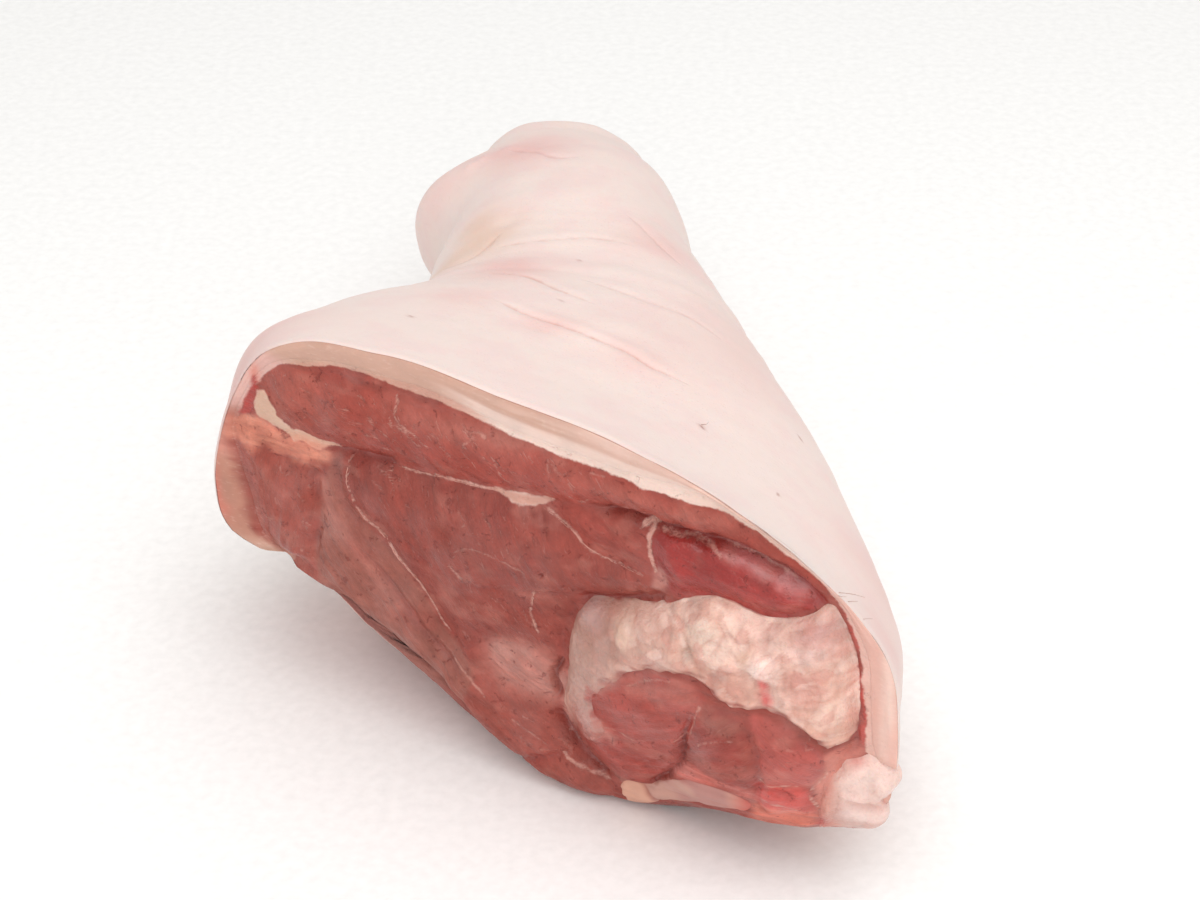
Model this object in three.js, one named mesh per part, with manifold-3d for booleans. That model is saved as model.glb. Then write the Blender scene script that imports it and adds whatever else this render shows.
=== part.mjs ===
// A raw leg of pork on the bone, with its rind on and the trotter off, lying on its inner side.
// Millimetres, +Z up. The shank points away along +Y. The knife-cut butt end faces the front (-Y),
// turned a little to the left. The origin is on the surface it rests on, under the leg's middle.
//
// Five pieces: the lean meat, the rind and the fat under it, the lumpy fat over the knuckle muscle,
// the edge of the pelvic bone at the foot of the cut, and the sawn shank bone.
import * as THREE from 'three';
import { mergeVertices } from 'three/addons/utils/BufferGeometryUtils.js';
import Module from 'manifold-3d';

// ---- Driving dimensions ----------------------------------------------------------------------

const GAP = 0.5; // air left between two pieces that touch
const BUTT = { turn: 28, y: -124.2, middle: [-20, 77] }; // the plane of the cut, and its middle (u, v)
const LEG_MIDDLE = { x: -14.8, y: 8.1 }; // set over the origin at the end

// The rim of the cut: u to the right along the cut, v up, anticlockwise from the right.
const BUTT_RIM = [
  [104, 76], [100, 97], [88, 112.5], [71, 125], [44, 138.5], [8, 149], [-35, 153.5], [-80, 156],
  [-107, 152.5], [-125, 142], [-137, 124], [-145, 103], [-149, 80], [-144, 64], [-126, 58], [-104, 47],
  [-84, 38], [-64, 25], [-42, 7], [-22, -2], [8, -3], [36, 6], [66, 14], [92, 24], [103, 46],
];

// Cross-sections behind the cut. at: share of the way along the leg; left, right, top: half sizes;
// floor: height of the underside; turn and roll in degrees; lift raises the top to the right.
const SECTION_SIZES = ['at', 'x', 'y', 'z', 'left', 'right', 'top', 'floor', 'turn', 'roll', 'lift'];
const SECTIONS = [
  [0.13, -2, -75, 72.4, 140, 110, 62, -7, 25, -7, -13],
  [0.32, -11.4, -18, 70, 107, 98, 57.5, -7, 19, 1.7, -13],
  [0.52, -12.7, 44, 61, 66.5, 74, 51.5, -4, 12, 5.5, -1],
  [0.71, -14, 103, 58, 49.5, 55, 49.5, 5, 6, 5.4, 0],
  [0.87, -13.7, 147, 56, 42, 47, 46, 9, 2, 2.8, 1.4],
  [1, -15, 179, 51.3, 35.7, 40, 42, 11, 0, 2.2, -3.6],
].map((sizes) => Object.fromEntries(sizes.map((size, i) => [SECTION_SIZES[i], size])));
const SQUARENESS = 2.3; // exponent of the sections' ovals; 2 would be an ellipse
const HEEL = { height: 20.2, at: 0.895, length: 0.074, angle: 172.4, spread: 34.4 }; // point of the hock
const HOCK_END = { depth: 17, close: 0.36, recess: 1.2 }; // the skin rounds over the sawn end
const SETTLE = 4; // height over which the underside flattens under the leg's weight

// Thickness of rind and fat: round the cut by angle in degrees, then along the leg.
const FAT_AT_CUT = [
  [-90, 8], [-30, 9], [-12, 10], [-4, 11.5], [5, 11], [13, 8], [22, 3.4], [37, 3], [47, 4], [53, 6.5],
  [60, 10], [67, 12.5], [80, 13.5], [100, 13.5], [125, 13], [140, 11], [148, 6.5], [158, 4.5], [166, 5],
  [172, 11], [178, 16], [186, 16], [194, 10],
];
const FAT_ALONG = { body: 8, shank: 5, blend: 0.16 };

// Underneath, the rind stops short of the cut and leaves the inner side of the leg bare.
const BARE = { from: 186, to: 354, soften: 24, back: 0.24, least: 0.01 };
const CORNER = { width: 14, drop: 8.4, rindSide: 1.6 }; // how the cut rounds off towards its rim

// Broad swellings of the cut face: middle u, v, half sizes, height.
const SWELLINGS = [
  { u: 46, v: 66, ru: 66, rv: 58, height: 10 },
  { u: -45, v: 92, ru: 62, rv: 36, height: 4 },
];

// The muscles that the cut shows, as outlines on its plane. Each stands puffed up by its height,
// which it reaches about three times its edge inside the outline.
const MUSCLES = {
  upper: { height: 3.5, edge: 4, outline: [
    [-124, 131], [-122, 138], [-113, 142], [-88, 142], [-60, 142], [-35, 139], [-12, 138], [14, 134],
    [45, 136], [63, 130], [80, 119], [68, 121], [52, 124], [18, 124], [-8, 122], [-22, 119], [-47, 117],
    [-78, 115], [-105, 114], [-115, 116], [-120, 121]] },
  central: { height: 4, edge: 5, outline: [
    [-92, 114], [-61, 115], [-35, 117], [-22, 117], [-11, 111], [-1, 106], [22, 102], [20, 97], [10, 92],
    [-4, 88], [-9, 78], [-12, 62], [-15, 55], [-38, 59], [-58, 58], [-71, 73], [-80, 85], [-94, 96],
    [-96, 104]] },
  wedge: { height: 2.5, edge: 4, outline: [
    [-20, 120], [-8, 121], [16, 123], [17, 113], [22, 103], [13, 102], [-1, 106], [-11, 112]] },
  wet: { height: 5, edge: 5, outline: [
    [18, 121], [28, 123], [55, 122], [68, 118], [77, 114], [75, 110], [62, 103], [40, 104], [21, 105],
    [18, 112]] },
  flank: { height: 4, edge: 5, outline: [
    [-142, 104], [-128, 106], [-104, 104], [-105, 92], [-108, 78], [-107, 64], [-109, 47], [-122, 50],
    [-135, 60], [-131, 78], [-134, 96]] },
  sheet: { height: 2.5, edge: 3.5, outline: [
    [-102, 104], [-95, 113], [-98, 103], [-88, 88], [-75, 71], [-66, 58], [-58, 45], [-56, 20], [-84, 34],
    [-108, 44], [-107, 78], [-104, 92]] },
  lower: { height: 4, edge: 5, outline: [
    [-57, 57], [-48, 57], [-41, 52], [-41, 42], [-34, 37], [-15, 34], [-11, 26], [2, 13], [10, 6], [5, -5],
    [-24, -5], [-47, 8], [-60, 20], [-60, 38], [-55, 48]] },
  lump: { height: 4, edge: 5, outline: [
    [-40, 50], [-35, 55], [-26, 56], [-17, 54], [-14, 45], [-15, 36], [-25, 36], [-35, 38], [-40, 43]] },
  knuckle: { height: 6, edge: 7, outline: [
    [3, 16], [-4, 23], [-9, 29], [-13, 41], [-12, 52], [-11, 66], [-9, 77], [-5, 86], [11, 89], [21, 94],
    [29, 99], [37, 103], [52, 104], [60, 102], [68, 104], [75, 109], [80, 113], [85, 108], [89, 99],
    [91, 87], [91, 72], [88, 58], [84, 40], [84, 18], [58, 16], [36, 20], [22, 18], [12, 12]] },
  knuckleLeft: { height: 3, edge: 4, outline: [
    [8, 62], [18, 70], [31, 76], [39, 77], [46, 73], [41, 67], [39, 56], [36, 46], [28, 31], [19, 17],
    [8, 15], [2, 20], [-3, 28], [-1, 43]] },
  knuckleMiddle: { height: 2, edge: 4, outline: [
    [42, 70], [48, 73], [58, 71], [62, 63], [62, 51], [57, 39], [47, 35], [36, 34], [38, 46], [40, 57]] },
  knuckleRight: { height: 2.5, edge: 4, outline: [
    [62, 63], [65, 71], [72, 69], [80, 63], [84, 55], [84, 26], [70, 20], [59, 21], [56, 32], [63, 45]] },
};

// Fat over the knuckle: its outer and its inner edge, from the lower left, over the top, to the right.
const KNUCKLE_FAT = {
  outer: [
    [-3, 24], [-8, 29], [-12, 41], [-11, 52], [-10, 66], [-8, 77], [-4, 84], [11, 88], [21, 93],
    [29, 98], [37, 102], [52, 103], [60, 101], [68, 103], [75, 108], [79, 109], [83, 104], [86, 96],
    [87, 86], [87, 73], [85, 62]],
  inner: [
    [-1, 27], [0, 33], [1, 43], [5, 55], [9, 63], [18, 70], [31, 76], [39, 76], [46, 74], [57, 72],
    [67, 73], [72, 70], [77, 66], [82, 63]],
  depth: 9, edge: 3, lump: 1.3, lumpEvery: 14, rise: 0, along: 36, across: 4,
};
const PELVIC_BONE = {
  outer: [[8, 9], [17, 16], [25, 24], [34, 28], [46, 29], [57, 26]],
  inner: [[10, 6], [19, 8], [32, 12], [43, 15], [56, 19]],
  depth: 9, edge: 5, lump: 0, lumpEvery: 20, rise: 2.5, along: 10, across: 3,
};

// The flank end of the fat: a soft lobe that hangs at the right foot of the cut.
const LOBE = { u: 97, v: 49, out: -2, ru: 13.5, rv: 20, depth: 14, knob: 2, knobs: 2.2 };
const SHANK_BONE = {
  x: -15, z: 53, wide: 14, high: 12, from: 168, to: 198.5, bevel: 2, marrow: 0.5, dimple: 2.5 };

// Facets
const AROUND = 56;
const ALONG = 15;
const TOWARDS_HOCK = 1.25; // above 1, the rings lie closer together towards the hock
const ROUND_END = 3;
const FACE_RINGS = 19;
const BONE_AROUND = 20;

// ---- Curves ----------------------------------------------------------------------------------

const { abs, atan2, cos, exp, hypot, max, min, sign, sin, sqrt, tanh, PI } = Math;
const radians = THREE.MathUtils.degToRad;
const degrees = THREE.MathUtils.radToDeg;
const smoothstep = (x, from, to) => THREE.MathUtils.smoothstep(x, from, to);
const mix = (a, b, t) => a + (b - a) * t;
const fullTurn = (deg) => ((deg % 360) + 360) % 360;
const steps = (n) => Array.from({ length: n + 1 }, (_, i) => i / n);

// Smooth value at x through the knots (xs rising), each slope taken from the knot's neighbours.
function through(xs, ys, x) {
  const last = xs.length - 1;
  let i = 0;
  while (i < last - 1 && x >= xs[i + 1]) i += 1;
  const slope = (k) => {
    const a = max(k - 1, 0);
    const b = min(k + 1, last);
    return (ys[b] - ys[a]) / (xs[b] - xs[a]);
  };
  const h = xs[i + 1] - xs[i];
  const t = (x - xs[i]) / h;
  const t2 = t * t;
  const t3 = t2 * t;
  return (2 * t3 - 3 * t2 + 1) * ys[i] + (t3 - 2 * t2 + t) * h * slope(i)
    + (3 * t2 - 2 * t3) * ys[i + 1] + (t3 - t2) * h * slope(i + 1);
}

// The same for a value that repeats every full turn, from [degrees, value] pairs.
function roundTheTurn(pairs) {
  const sorted = pairs.map(([deg, value]) => [fullTurn(deg), value]).sort((p, q) => p[0] - q[0]);
  const knots = [
    ...sorted.slice(-2).map(([deg, value]) => [deg - 360, value]),
    ...sorted,
    ...sorted.slice(0, 2).map(([deg, value]) => [deg + 360, value]),
  ];
  const xs = knots.map((k) => k[0]);
  const ys = knots.map((k) => k[1]);
  return (theta) => through(xs, ys, fullTurn(degrees(theta)));
}

// How far (u, v) lies inside a closed outline; 0 on it and outside it.
function depthInside(outline, u, v) {
  let nearest = Infinity;
  let inside = false;
  outline.forEach(([bu, bv], i) => {
    const [au, av] = outline[(i + outline.length - 1) % outline.length];
    const du = bu - au;
    const dv = bv - av;
    const t = THREE.MathUtils.clamp(((u - au) * du + (v - av) * dv) / (du * du + dv * dv), 0, 1);
    nearest = min(nearest, hypot(u - au - t * du, v - av - t * dv));
    if (av > v !== bv > v && u < au + (du * (v - av)) / dv) inside = !inside;
  });
  return inside ? nearest : 0;
}

// ---- The leg's outer form ---------------------------------------------------------------------

const ACROSS = new THREE.Vector3(cos(radians(BUTT.turn)), -sin(radians(BUTT.turn)), 0);
const UP = new THREE.Vector3(0, 0, 1);
const OUT = new THREE.Vector3(-sin(radians(BUTT.turn)), -cos(radians(BUTT.turn)), 0);

const rimRadius = roundTheTurn(BUTT_RIM.map(([u, v]) => {
  const du = u - BUTT.middle[0];
  const dv = v - BUTT.middle[1];
  return [degrees(atan2(dv, du)), hypot(du, dv)];
}));
const fatAtCut = roundTheTurn(FAT_AT_CUT);

// Weight flattens the underside: whatever would hang below 0 lies flat.
function settle(z) {
  if (z >= SETTLE) return z;
  return z <= -SETTLE ? 0 : (z + SETTLE) ** 2 / (4 * SETTLE);
}

// A point of the cut plane, brought forward by out.
function onCut(u, v, out = 0) {
  const point = new THREE.Vector3(0, BUTT.y, 0)
    .addScaledVector(ACROSS, u).addScaledVector(UP, v).addScaledVector(OUT, out);
  point.z = settle(point.z);
  return point;
}

function sectionPoint(section, theta) {
  const c = cos(theta);
  const s = sin(theta);
  const toRight = 0.5 * (1 + tanh(4 * c));
  const toTop = 0.5 * (1 + tanh(4 * s));
  const power = 2 / SQUARENESS;
  const wide = mix(section.left, section.right, toRight) * sign(c) * abs(c) ** power;
  const high = mix(section.z - section.floor, section.top, toTop) * sign(s) * abs(s) ** power
    + section.lift * toTop * c * sqrt(max(s, 0));
  const roll = radians(section.roll);
  const turn = radians(section.turn);
  const across = wide * cos(roll) - high * sin(roll);
  const up = wide * sin(roll) + high * cos(roll);
  return new THREE.Vector3(
    section.x + across * cos(turn), section.y - across * sin(turn), section.z + up);
}

const STATIONS = [0, ...SECTIONS.map((section) => section.at)];
const MIDDLES = [
  new THREE.Vector3(0, BUTT.y, 0).addScaledVector(ACROSS, BUTT.middle[0]).addScaledVector(UP, BUTT.middle[1]),
  ...SECTIONS.map((section) => new THREE.Vector3(section.x, section.y, section.z)),
];

const between = (points, at) => new THREE.Vector3(
  ...['x', 'y', 'z'].map((axis) => through(STATIONS, points.map((p) => p[axis]), at)));

// The leg's surface: at is 0 on the cut's plane and 1 at the hock.
function surface(theta, at) {
  const r = rimRadius(theta);
  const rim = new THREE.Vector3(0, BUTT.y, 0)
    .addScaledVector(ACROSS, BUTT.middle[0] + r * cos(theta))
    .addScaledVector(UP, BUTT.middle[1] + r * sin(theta));
  const point = between([rim, ...SECTIONS.map((section) => sectionPoint(section, theta))], at);
  const middle = between(MIDDLES, at);
  const outwards = point.clone().sub(middle).normalize();
  const round = (theta - radians(HEEL.angle)) / radians(HEEL.spread);
  const along = (at - HEEL.at) / HEEL.length;
  point.addScaledVector(outwards, HEEL.height * exp(-along * along - round * round));
  point.z = settle(point.z);
  return point;
}

const towards = (point, middle, distance) => point.clone()
  .addScaledVector(middle.clone().sub(point).normalize(), distance);

// Where the rind begins: at the cut, or further back under the bare inner side.
function rindStart(theta) {
  const deg = fullTurn(degrees(theta));
  const bare = smoothstep(deg, BARE.from, BARE.from + BARE.soften)
    * (1 - smoothstep(deg, BARE.to - BARE.soften, BARE.to));
  const start = BARE.back * bare;
  return start < BARE.least ? 0 : start;
}

function fatThickness(theta, at) {
  const along = mix(FAT_ALONG.body, FAT_ALONG.shank, smoothstep(at, FAT_ALONG.blend, 1));
  const start = rindStart(theta);
  return mix(fatAtCut(theta), along, smoothstep(at, 0, FAT_ALONG.blend + start));
}

// ---- The cut face ----------------------------------------------------------------------------

function swelling({ u: u0, v: v0, ru, rv, height }, u, v) {
  const inside = max(1 - ((u - u0) / ru) ** 2 - ((v - v0) / rv) ** 2, 0);
  return height * inside * inside;
}

const puffed = ({ outline, height, edge }, u, v) => height * (1 - exp(-depthInside(outline, u, v) / edge));

// How far the cut face stands in front of its plane.
function relief(u, v) {
  const broad = SWELLINGS.reduce((sum, s) => sum + swelling(s, u, v), 0);
  const muscles = Object.values(MUSCLES).reduce((sum, m) => sum + puffed(m, u, v), 0);
  const theta = atan2(v - BUTT.middle[1], u - BUTT.middle[0]);
  const bare = rindStart(theta) / BARE.back;
  const leanRim = rimRadius(theta) - (1 - bare) * fatAtCut(theta);
  const toRim = max(leanRim - hypot(u - BUTT.middle[0], v - BUTT.middle[1]), 0);
  const corner = max(1 - toRim / CORNER.width, 0) ** 2;
  const rimDrop = mix(CORNER.rindSide, CORNER.drop, bare);
  return (broad + muscles) * (1 - corner) - rimDrop * corner;
}

// ---- Closed bodies from rings ------------------------------------------------------------------

// Joins rings of equally many points into a closed skin. Rings that shrink to a point close an end;
// with loop, the last ring joins the first.
function skinOver(rings, loop = false) {
  const around = rings[0].length;
  const positions = rings.flatMap((ring) => ring.flatMap((p) => [p.x, p.y, p.z]));
  const index = [];
  for (let k = 0; k < rings.length - (loop ? 0 : 1); k += 1) {
    const next = (k + 1) % rings.length;
    for (let i = 0; i < around; i += 1) {
      const j = (i + 1) % around;
      const [a, b, c, d] = [k * around + i, k * around + j, next * around + j, next * around + i];
      index.push(a, d, c, a, c, b);
    }
  }
  const geometry = new THREE.BufferGeometry();
  geometry.setAttribute('position', new THREE.Float32BufferAttribute(positions, 3));
  geometry.setIndex(index);
  return outwardFacing(withoutSlivers(mergeVertices(geometry, 1e-3)));
}

function withoutSlivers(geometry) {
  const { array } = geometry.index;
  const kept = [];
  for (let i = 0; i < array.length; i += 3) {
    const [a, b, c] = array.slice(i, i + 3);
    if (a !== b && b !== c && c !== a) kept.push(a, b, c);
  }
  geometry.setIndex(kept);
  return geometry;
}

function outwardFacing(geometry) {
  const { array: index } = geometry.index;
  const corner = (i) => new THREE.Vector3().fromBufferAttribute(geometry.attributes.position, index[i]);
  let volume = 0;
  for (let i = 0; i < index.length; i += 3) volume += corner(i).dot(corner(i + 1).cross(corner(i + 2)));
  if (volume < 0) geometry.setIndex(Array.from(index).reverse());
  return geometry;
}

const wasm = await Module();
wasm.setup();

const toSolid = (geometry) => new wasm.Manifold(new wasm.Mesh({
  numProp: 3,
  vertProperties: new Float32Array(geometry.attributes.position.array),
  triVerts: new Uint32Array(geometry.index.array),
}));

function fromSolid(solid) {
  const { vertProperties, triVerts } = solid.getMesh();
  const geometry = new THREE.BufferGeometry();
  geometry.setAttribute('position', new THREE.BufferAttribute(new Float32Array(vertProperties), 3));
  geometry.setIndex(Array.from(triVerts));
  return geometry;
}

// ---- Rind and lean -----------------------------------------------------------------------------

const THETAS = steps(AROUND).slice(0, AROUND).map((t) => 2 * PI * t);
const SHARES = steps(ALONG).map((t) => 1 - (1 - t) ** TOWARDS_HOCK);
const HOCK_MIDDLE = between(MIDDLES, 1);
const TOOL = { outside: 8, front: 25, ahead: 0.002 }; // how far the cutting body reaches past the rind

// The skin beyond the hock, rounding over the sawn end as share goes from 0 to 1.
function roundedEnd(theta, share, inset) {
  const turn = (share * PI) / 2;
  const shrink = 1 - HOCK_END.close * (1 - cos(turn));
  const point = surface(theta, 1).sub(HOCK_MIDDLE).multiplyScalar(shrink).add(HOCK_MIDDLE);
  return towards(point, HOCK_MIDDLE, inset).add(new THREE.Vector3(0, HOCK_END.depth * sin(turn), 0));
}

const insetSurface = (theta, at, inset) => towards(surface(theta, at), between(MIDDLES, at), inset);

// One wall of the rind, front to back: inset(theta, at) is its depth under the skin.
function rindWall(inset) {
  const along = SHARES.map((share) => THETAS.map((theta) => {
    const at = mix(rindStart(theta), 1, share);
    return insetSurface(theta, at, inset(theta, at));
  }));
  const end = steps(ROUND_END).slice(1).map((share) => THETAS.map(
    (theta) => roundedEnd(theta, share, inset(theta, 1))));
  return [...along, ...end];
}

// The same wall, taken on past the rind's front edge.
function wallWithFront(inset) {
  const front = THETAS.map((theta) => {
    const start = rindStart(theta);
    if (start > 0) return insetSurface(theta, start - TOOL.ahead, inset(theta, start));
    return insetSurface(theta, 0, inset(theta, 0)).addScaledVector(OUT, TOOL.front);
  });
  return [front, ...rindWall(inset)];
}

// The flank's fat, a ball pulled out of round with two knobs down its right side.
function fatLobe(grow) {
  const geometry = new THREE.SphereGeometry(1, 18, 12);
  const { position } = geometry.attributes;
  for (let i = 0; i < position.count; i += 1) {
    const p = new THREE.Vector3().fromBufferAttribute(position, i);
    const knobs = LOBE.knob * cos(LOBE.knobs * PI * p.y) * max(p.x, 0);
    const at = onCut(LOBE.u + p.x * (LOBE.ru + grow) + knobs, LOBE.v + p.y * (LOBE.rv + grow),
      LOBE.out + p.z * (LOBE.depth + grow));
    position.setXYZ(i, at.x, at.y, at.z);
  }
  geometry.deleteAttribute('normal');
  geometry.deleteAttribute('uv');
  return toSolid(outwardFacing(withoutSlivers(mergeVertices(geometry, 1e-3))));
}

function rindAndFat() {
  const shell = skinOver([...rindWall(() => 0), ...rindWall(fatThickness).reverse()], true);
  return toSolid(shell).add(fatLobe(0));
}

// The rind made GAP thicker inwards and longer forwards, to cut its place out of the leg.
function rindTool() {
  const outer = wallWithFront(() => -TOOL.outside);
  const inner = wallWithFront((theta, at) => fatThickness(theta, at) + GAP);
  return toSolid(skinOver([...outer, ...inner.reverse()], true));
}

function cutFace() {
  return steps(FACE_RINGS).map((share) => THETAS.map((theta) => {
    const reach = share * rimRadius(theta);
    const u = BUTT.middle[0] + reach * cos(theta);
    const v = BUTT.middle[1] + reach * sin(theta);
    return onCut(u, v, relief(u, v));
  }));
}

// The whole leg, with its cut face at the front and its sawn end at the back.
function wholeLeg() {
  const side = SHARES.slice(1).map((share) => THETAS.map((theta) => surface(theta, share)));
  const sawnAt = HOCK_MIDDLE.y + HOCK_END.depth - HOCK_END.recess;
  const end = THETAS.map((theta) => roundedEnd(theta, 1, 0).setY(sawnAt));
  const middle = end.reduce((sum, p) => sum.add(p), new THREE.Vector3()).divideScalar(AROUND);
  return toSolid(skinOver([...cutFace(), ...side, end, end.map(() => middle)]));
}

// ---- Fat over the knuckle, pelvic bone and shank bone ---------------------------------------------

const curveThrough = (outline) => new THREE.CatmullRomCurve3(
  outline.map(([u, v]) => new THREE.Vector3(u, v, 0)));

function lumps({ lump, lumpEvery }, u, v) {
  const k = (2 * PI) / lumpEvery;
  return lump * sin(k * u + 2 * sin(0.6 * k * v)) * sin(k * v + 2 * sin(0.6 * k * u));
}

// A layer lying in the cut face between two edges. With grow, the pocket that takes it.
function strip(layer, grow = 0) {
  const outer = curveThrough(layer.outer);
  const inner = curveThrough(layer.inner);
  const rings = steps(layer.along).map((t) => {
    const a = inner.getPointAt(t);
    const b = outer.getPointAt(t);
    const past = t === 0 ? -grow : t === 1 ? grow : 0;
    const onward = outer.getTangentAt(t).multiplyScalar(past);
    const section = steps(layer.across).map((share) => {
      const p = a.clone().lerp(b, share);
      const dome = sin(PI * share);
      const aside = b.clone().sub(a).normalize().multiplyScalar(share === 0 ? -grow : share === 1 ? grow : 0);
      const top = relief(p.x, p.y) + layer.rise * dome + dome * lumps(layer, p.x, p.y);
      const bottom = relief(p.x, p.y) - mix(layer.edge, layer.depth, dome) - grow;
      const place = p.add(aside).add(onward);
      return [onCut(place.x, place.y, grow > 0 ? top + TOOL.front : top), onCut(place.x, place.y, bottom)];
    });
    return [...section.map((pair) => pair[0]), ...section.map((pair) => pair[1]).reverse()];
  });
  const pole = (ring) => {
    const centre = ring.reduce((sum, p) => sum.add(p), new THREE.Vector3()).divideScalar(ring.length);
    return ring.map(() => centre);
  };
  return toSolid(skinOver([pole(rings[0]), ...rings, pole(rings.at(-1))]));
}

// The sawn shank bone: a rounded shaft with its marrow sunk in the middle.
function shankBone(grow = 0) {
  const { x, z, wide, high, from, to, bevel, marrow, dimple } = SHANK_BONE;
  const ring = (y, share) => steps(BONE_AROUND).slice(1).map((t) => new THREE.Vector3(
    x + (wide + grow) * share * cos(2 * PI * t), y, z + (high + grow) * share * sin(2 * PI * t)));
  const shaft = [ring(from - grow, 0), ring(from - grow, 0.85), ring(from + bevel, 1), ring(to - bevel, 1)];
  const sawn = grow > 0
    ? [ring(to + grow, 1), ring(to + grow, 0)]
    : [ring(to, 0.9), ring(to, marrow), ring(to - dimple, marrow * 0.8), ring(to - dimple, 0)];
  return toSolid(skinOver([...shaft, ...sawn]));
}

// ---- The leg -------------------------------------------------------------------------------------

const FINISH = {
  lean: { color: 0xa0564f, roughness: 0.5, metalness: 0 },
  rind: { color: 0xf0d6cf, roughness: 0.55, metalness: 0 },
  fat: { color: 0xecc9b8, roughness: 0.45, metalness: 0 },
  bone: { color: 0xd9b3a2, roughness: 0.5, metalness: 0 },
};

function piece(name, solid, finish) {
  const geometry = fromSolid(solid);
  geometry.computeVertexNormals();
  const mesh = new THREE.Mesh(geometry, new THREE.MeshStandardMaterial(FINISH[finish]));
  mesh.name = name;
  return mesh;
}

const lobePlace = fatLobe(GAP);
const knuckleFat = strip(KNUCKLE_FAT).subtract(lobePlace);
const lean = wholeLeg()
  .subtract(rindTool())
  .subtract(lobePlace)
  .subtract(strip(KNUCKLE_FAT, GAP))
  .subtract(strip(PELVIC_BONE, GAP))
  .subtract(shankBone(GAP));

const leg = new THREE.Group();
leg.add(
  piece('lean_meat', lean, 'lean'),
  piece('rind_and_fat', rindAndFat(), 'rind'),
  piece('knuckle_fat', knuckleFat, 'fat'),
  piece('pelvic_bone', strip(PELVIC_BONE), 'bone'),
  piece('shank_bone', shankBone(), 'bone'),
);
leg.position.set(-LEG_MIDDLE.x, -LEG_MIDDLE.y, 0);

export default leg;
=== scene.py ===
"""A raw leg of pork on the bone, lying on its inner side with its knife-cut butt end to the front.

Shapes are worked out in millimetres in the leg's own frame and put in place in metres at the end.
The skin is followed by (theta, at): the angle round the leg, 0 on the right and 90 degrees on top,
and the share of the way from the cut (0) to the hock (1). The cut is followed by (u, v) on its
plane: u to the right, v up.
"""
from itertools import product

import bpy
import numpy as np
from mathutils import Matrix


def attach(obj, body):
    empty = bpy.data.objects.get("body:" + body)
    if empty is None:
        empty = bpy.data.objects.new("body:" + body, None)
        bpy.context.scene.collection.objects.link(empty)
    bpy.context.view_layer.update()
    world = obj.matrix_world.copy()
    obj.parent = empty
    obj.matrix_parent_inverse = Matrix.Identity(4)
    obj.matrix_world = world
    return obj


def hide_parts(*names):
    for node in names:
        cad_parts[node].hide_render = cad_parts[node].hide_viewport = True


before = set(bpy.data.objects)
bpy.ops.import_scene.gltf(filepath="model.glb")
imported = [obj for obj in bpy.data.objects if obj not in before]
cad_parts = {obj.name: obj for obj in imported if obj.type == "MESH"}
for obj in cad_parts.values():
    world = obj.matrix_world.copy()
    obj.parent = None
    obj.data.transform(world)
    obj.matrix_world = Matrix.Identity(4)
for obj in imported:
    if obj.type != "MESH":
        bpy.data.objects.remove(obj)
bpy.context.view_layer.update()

# ---- Driving dimensions, millimetres and degrees ----------------------

LEG_MIDDLE = np.array([-14.8, 8.1, 0.0])
LEG_LENGTH = 380  # from the cut to the hock, along the skin

# The cut's plane: its turn from square, where it crosses the leg's middle, the middle (u, v),
# and the rim of the skin on it.
BUTT = {"turn": 28.0, "y": -124.2, "middle": (-20.0, 77.0)}
BUTT_RIM = [
    (104, 76), (100, 97), (88, 112.5), (71, 125), (44, 138.5), (8, 149), (-35, 153.5), (-80, 156),
    (-107, 152.5), (-125, 142), (-137, 124), (-145, 103), (-149, 80), (-144, 64), (-126, 58),
    (-104, 47), (-84, 38), (-64, 25), (-42, 7), (-22, -2), (8, -3), (36, 6), (66, 14), (92, 24),
    (103, 46)]

# Sections of the leg behind the cut: the share along, the middle, half widths, heights over and
# under the middle, degrees about the upright and about the leg, and the top's slant.
SECTIONS = {
    "at": (0.13, 0.32, 0.52, 0.71, 0.87, 1.0),
    "x": (-2, -11.4, -12.7, -14, -13.7, -15),
    "y": (-75, -18, 44, 103, 147, 179),
    "z": (72.4, 70, 61, 58, 56, 51.3),
    "left": (140, 107, 66.5, 49.5, 42, 35.7),
    "right": (110, 98, 74, 55, 47, 40),
    "top": (62, 57.5, 51.5, 49.5, 46, 42),
    "floor": (-7, -7, -4, 5, 9, 11),
    "turn": (25, 19, 12, 6, 2, 0),
    "roll": (-7, 1.7, 5.5, 5.4, 2.8, 2.2),
    "lift": (-13, -13, -1, 0, 1.4, -3.6)}
SQUARENESS = 2.3  # 2 is an ellipse
HEEL = {"height": 20.2, "at": 0.895, "length": 0.074, "angle": 172.4, "spread": 34.4}
HOCK_END = {"depth": 17, "close": 0.36, "recess": 1.2}
SETTLE = 4.0  # how softly the underside flattens on the table

# Thickness of rind and fat: round the cut, by angle, and further along the leg.
FAT_AT_CUT = [
    (-90, 8), (-30, 9), (-12, 10), (-4, 11.5), (5, 11), (13, 8), (22, 3.4), (37, 3), (47, 4),
    (53, 6.5), (60, 10), (67, 12.5), (80, 13.5), (100, 13.5), (125, 13), (140, 11), (148, 6.5),
    (158, 4.5), (166, 5), (172, 11), (178, 16), (186, 16), (194, 10)]
FAT_ALONG = {"body": 8, "shank": 5, "blend": 0.16}

# The inner side without rind, by angle, and how far back along the leg it goes.
BARE = {"from": 186, "to": 354, "soften": 24, "back": 0.24, "least": 0.01}
THIN_EDGE = {"thick": 1.4, "soften": 10}  # the rind tapers off where it leaves the meat bare
OVERLAP = 2.2  # how far the meat reaches under the cut edge of the fat
CORNER = {"width": 14, "drop": 8.4, "rind_side": 1.6}  # the cut's rounded rim

CAMERA = {"elevation": 35.0, "away": 1012, "aim": (0, 0, 58), "lens": 84, "sensor": 36}

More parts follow.
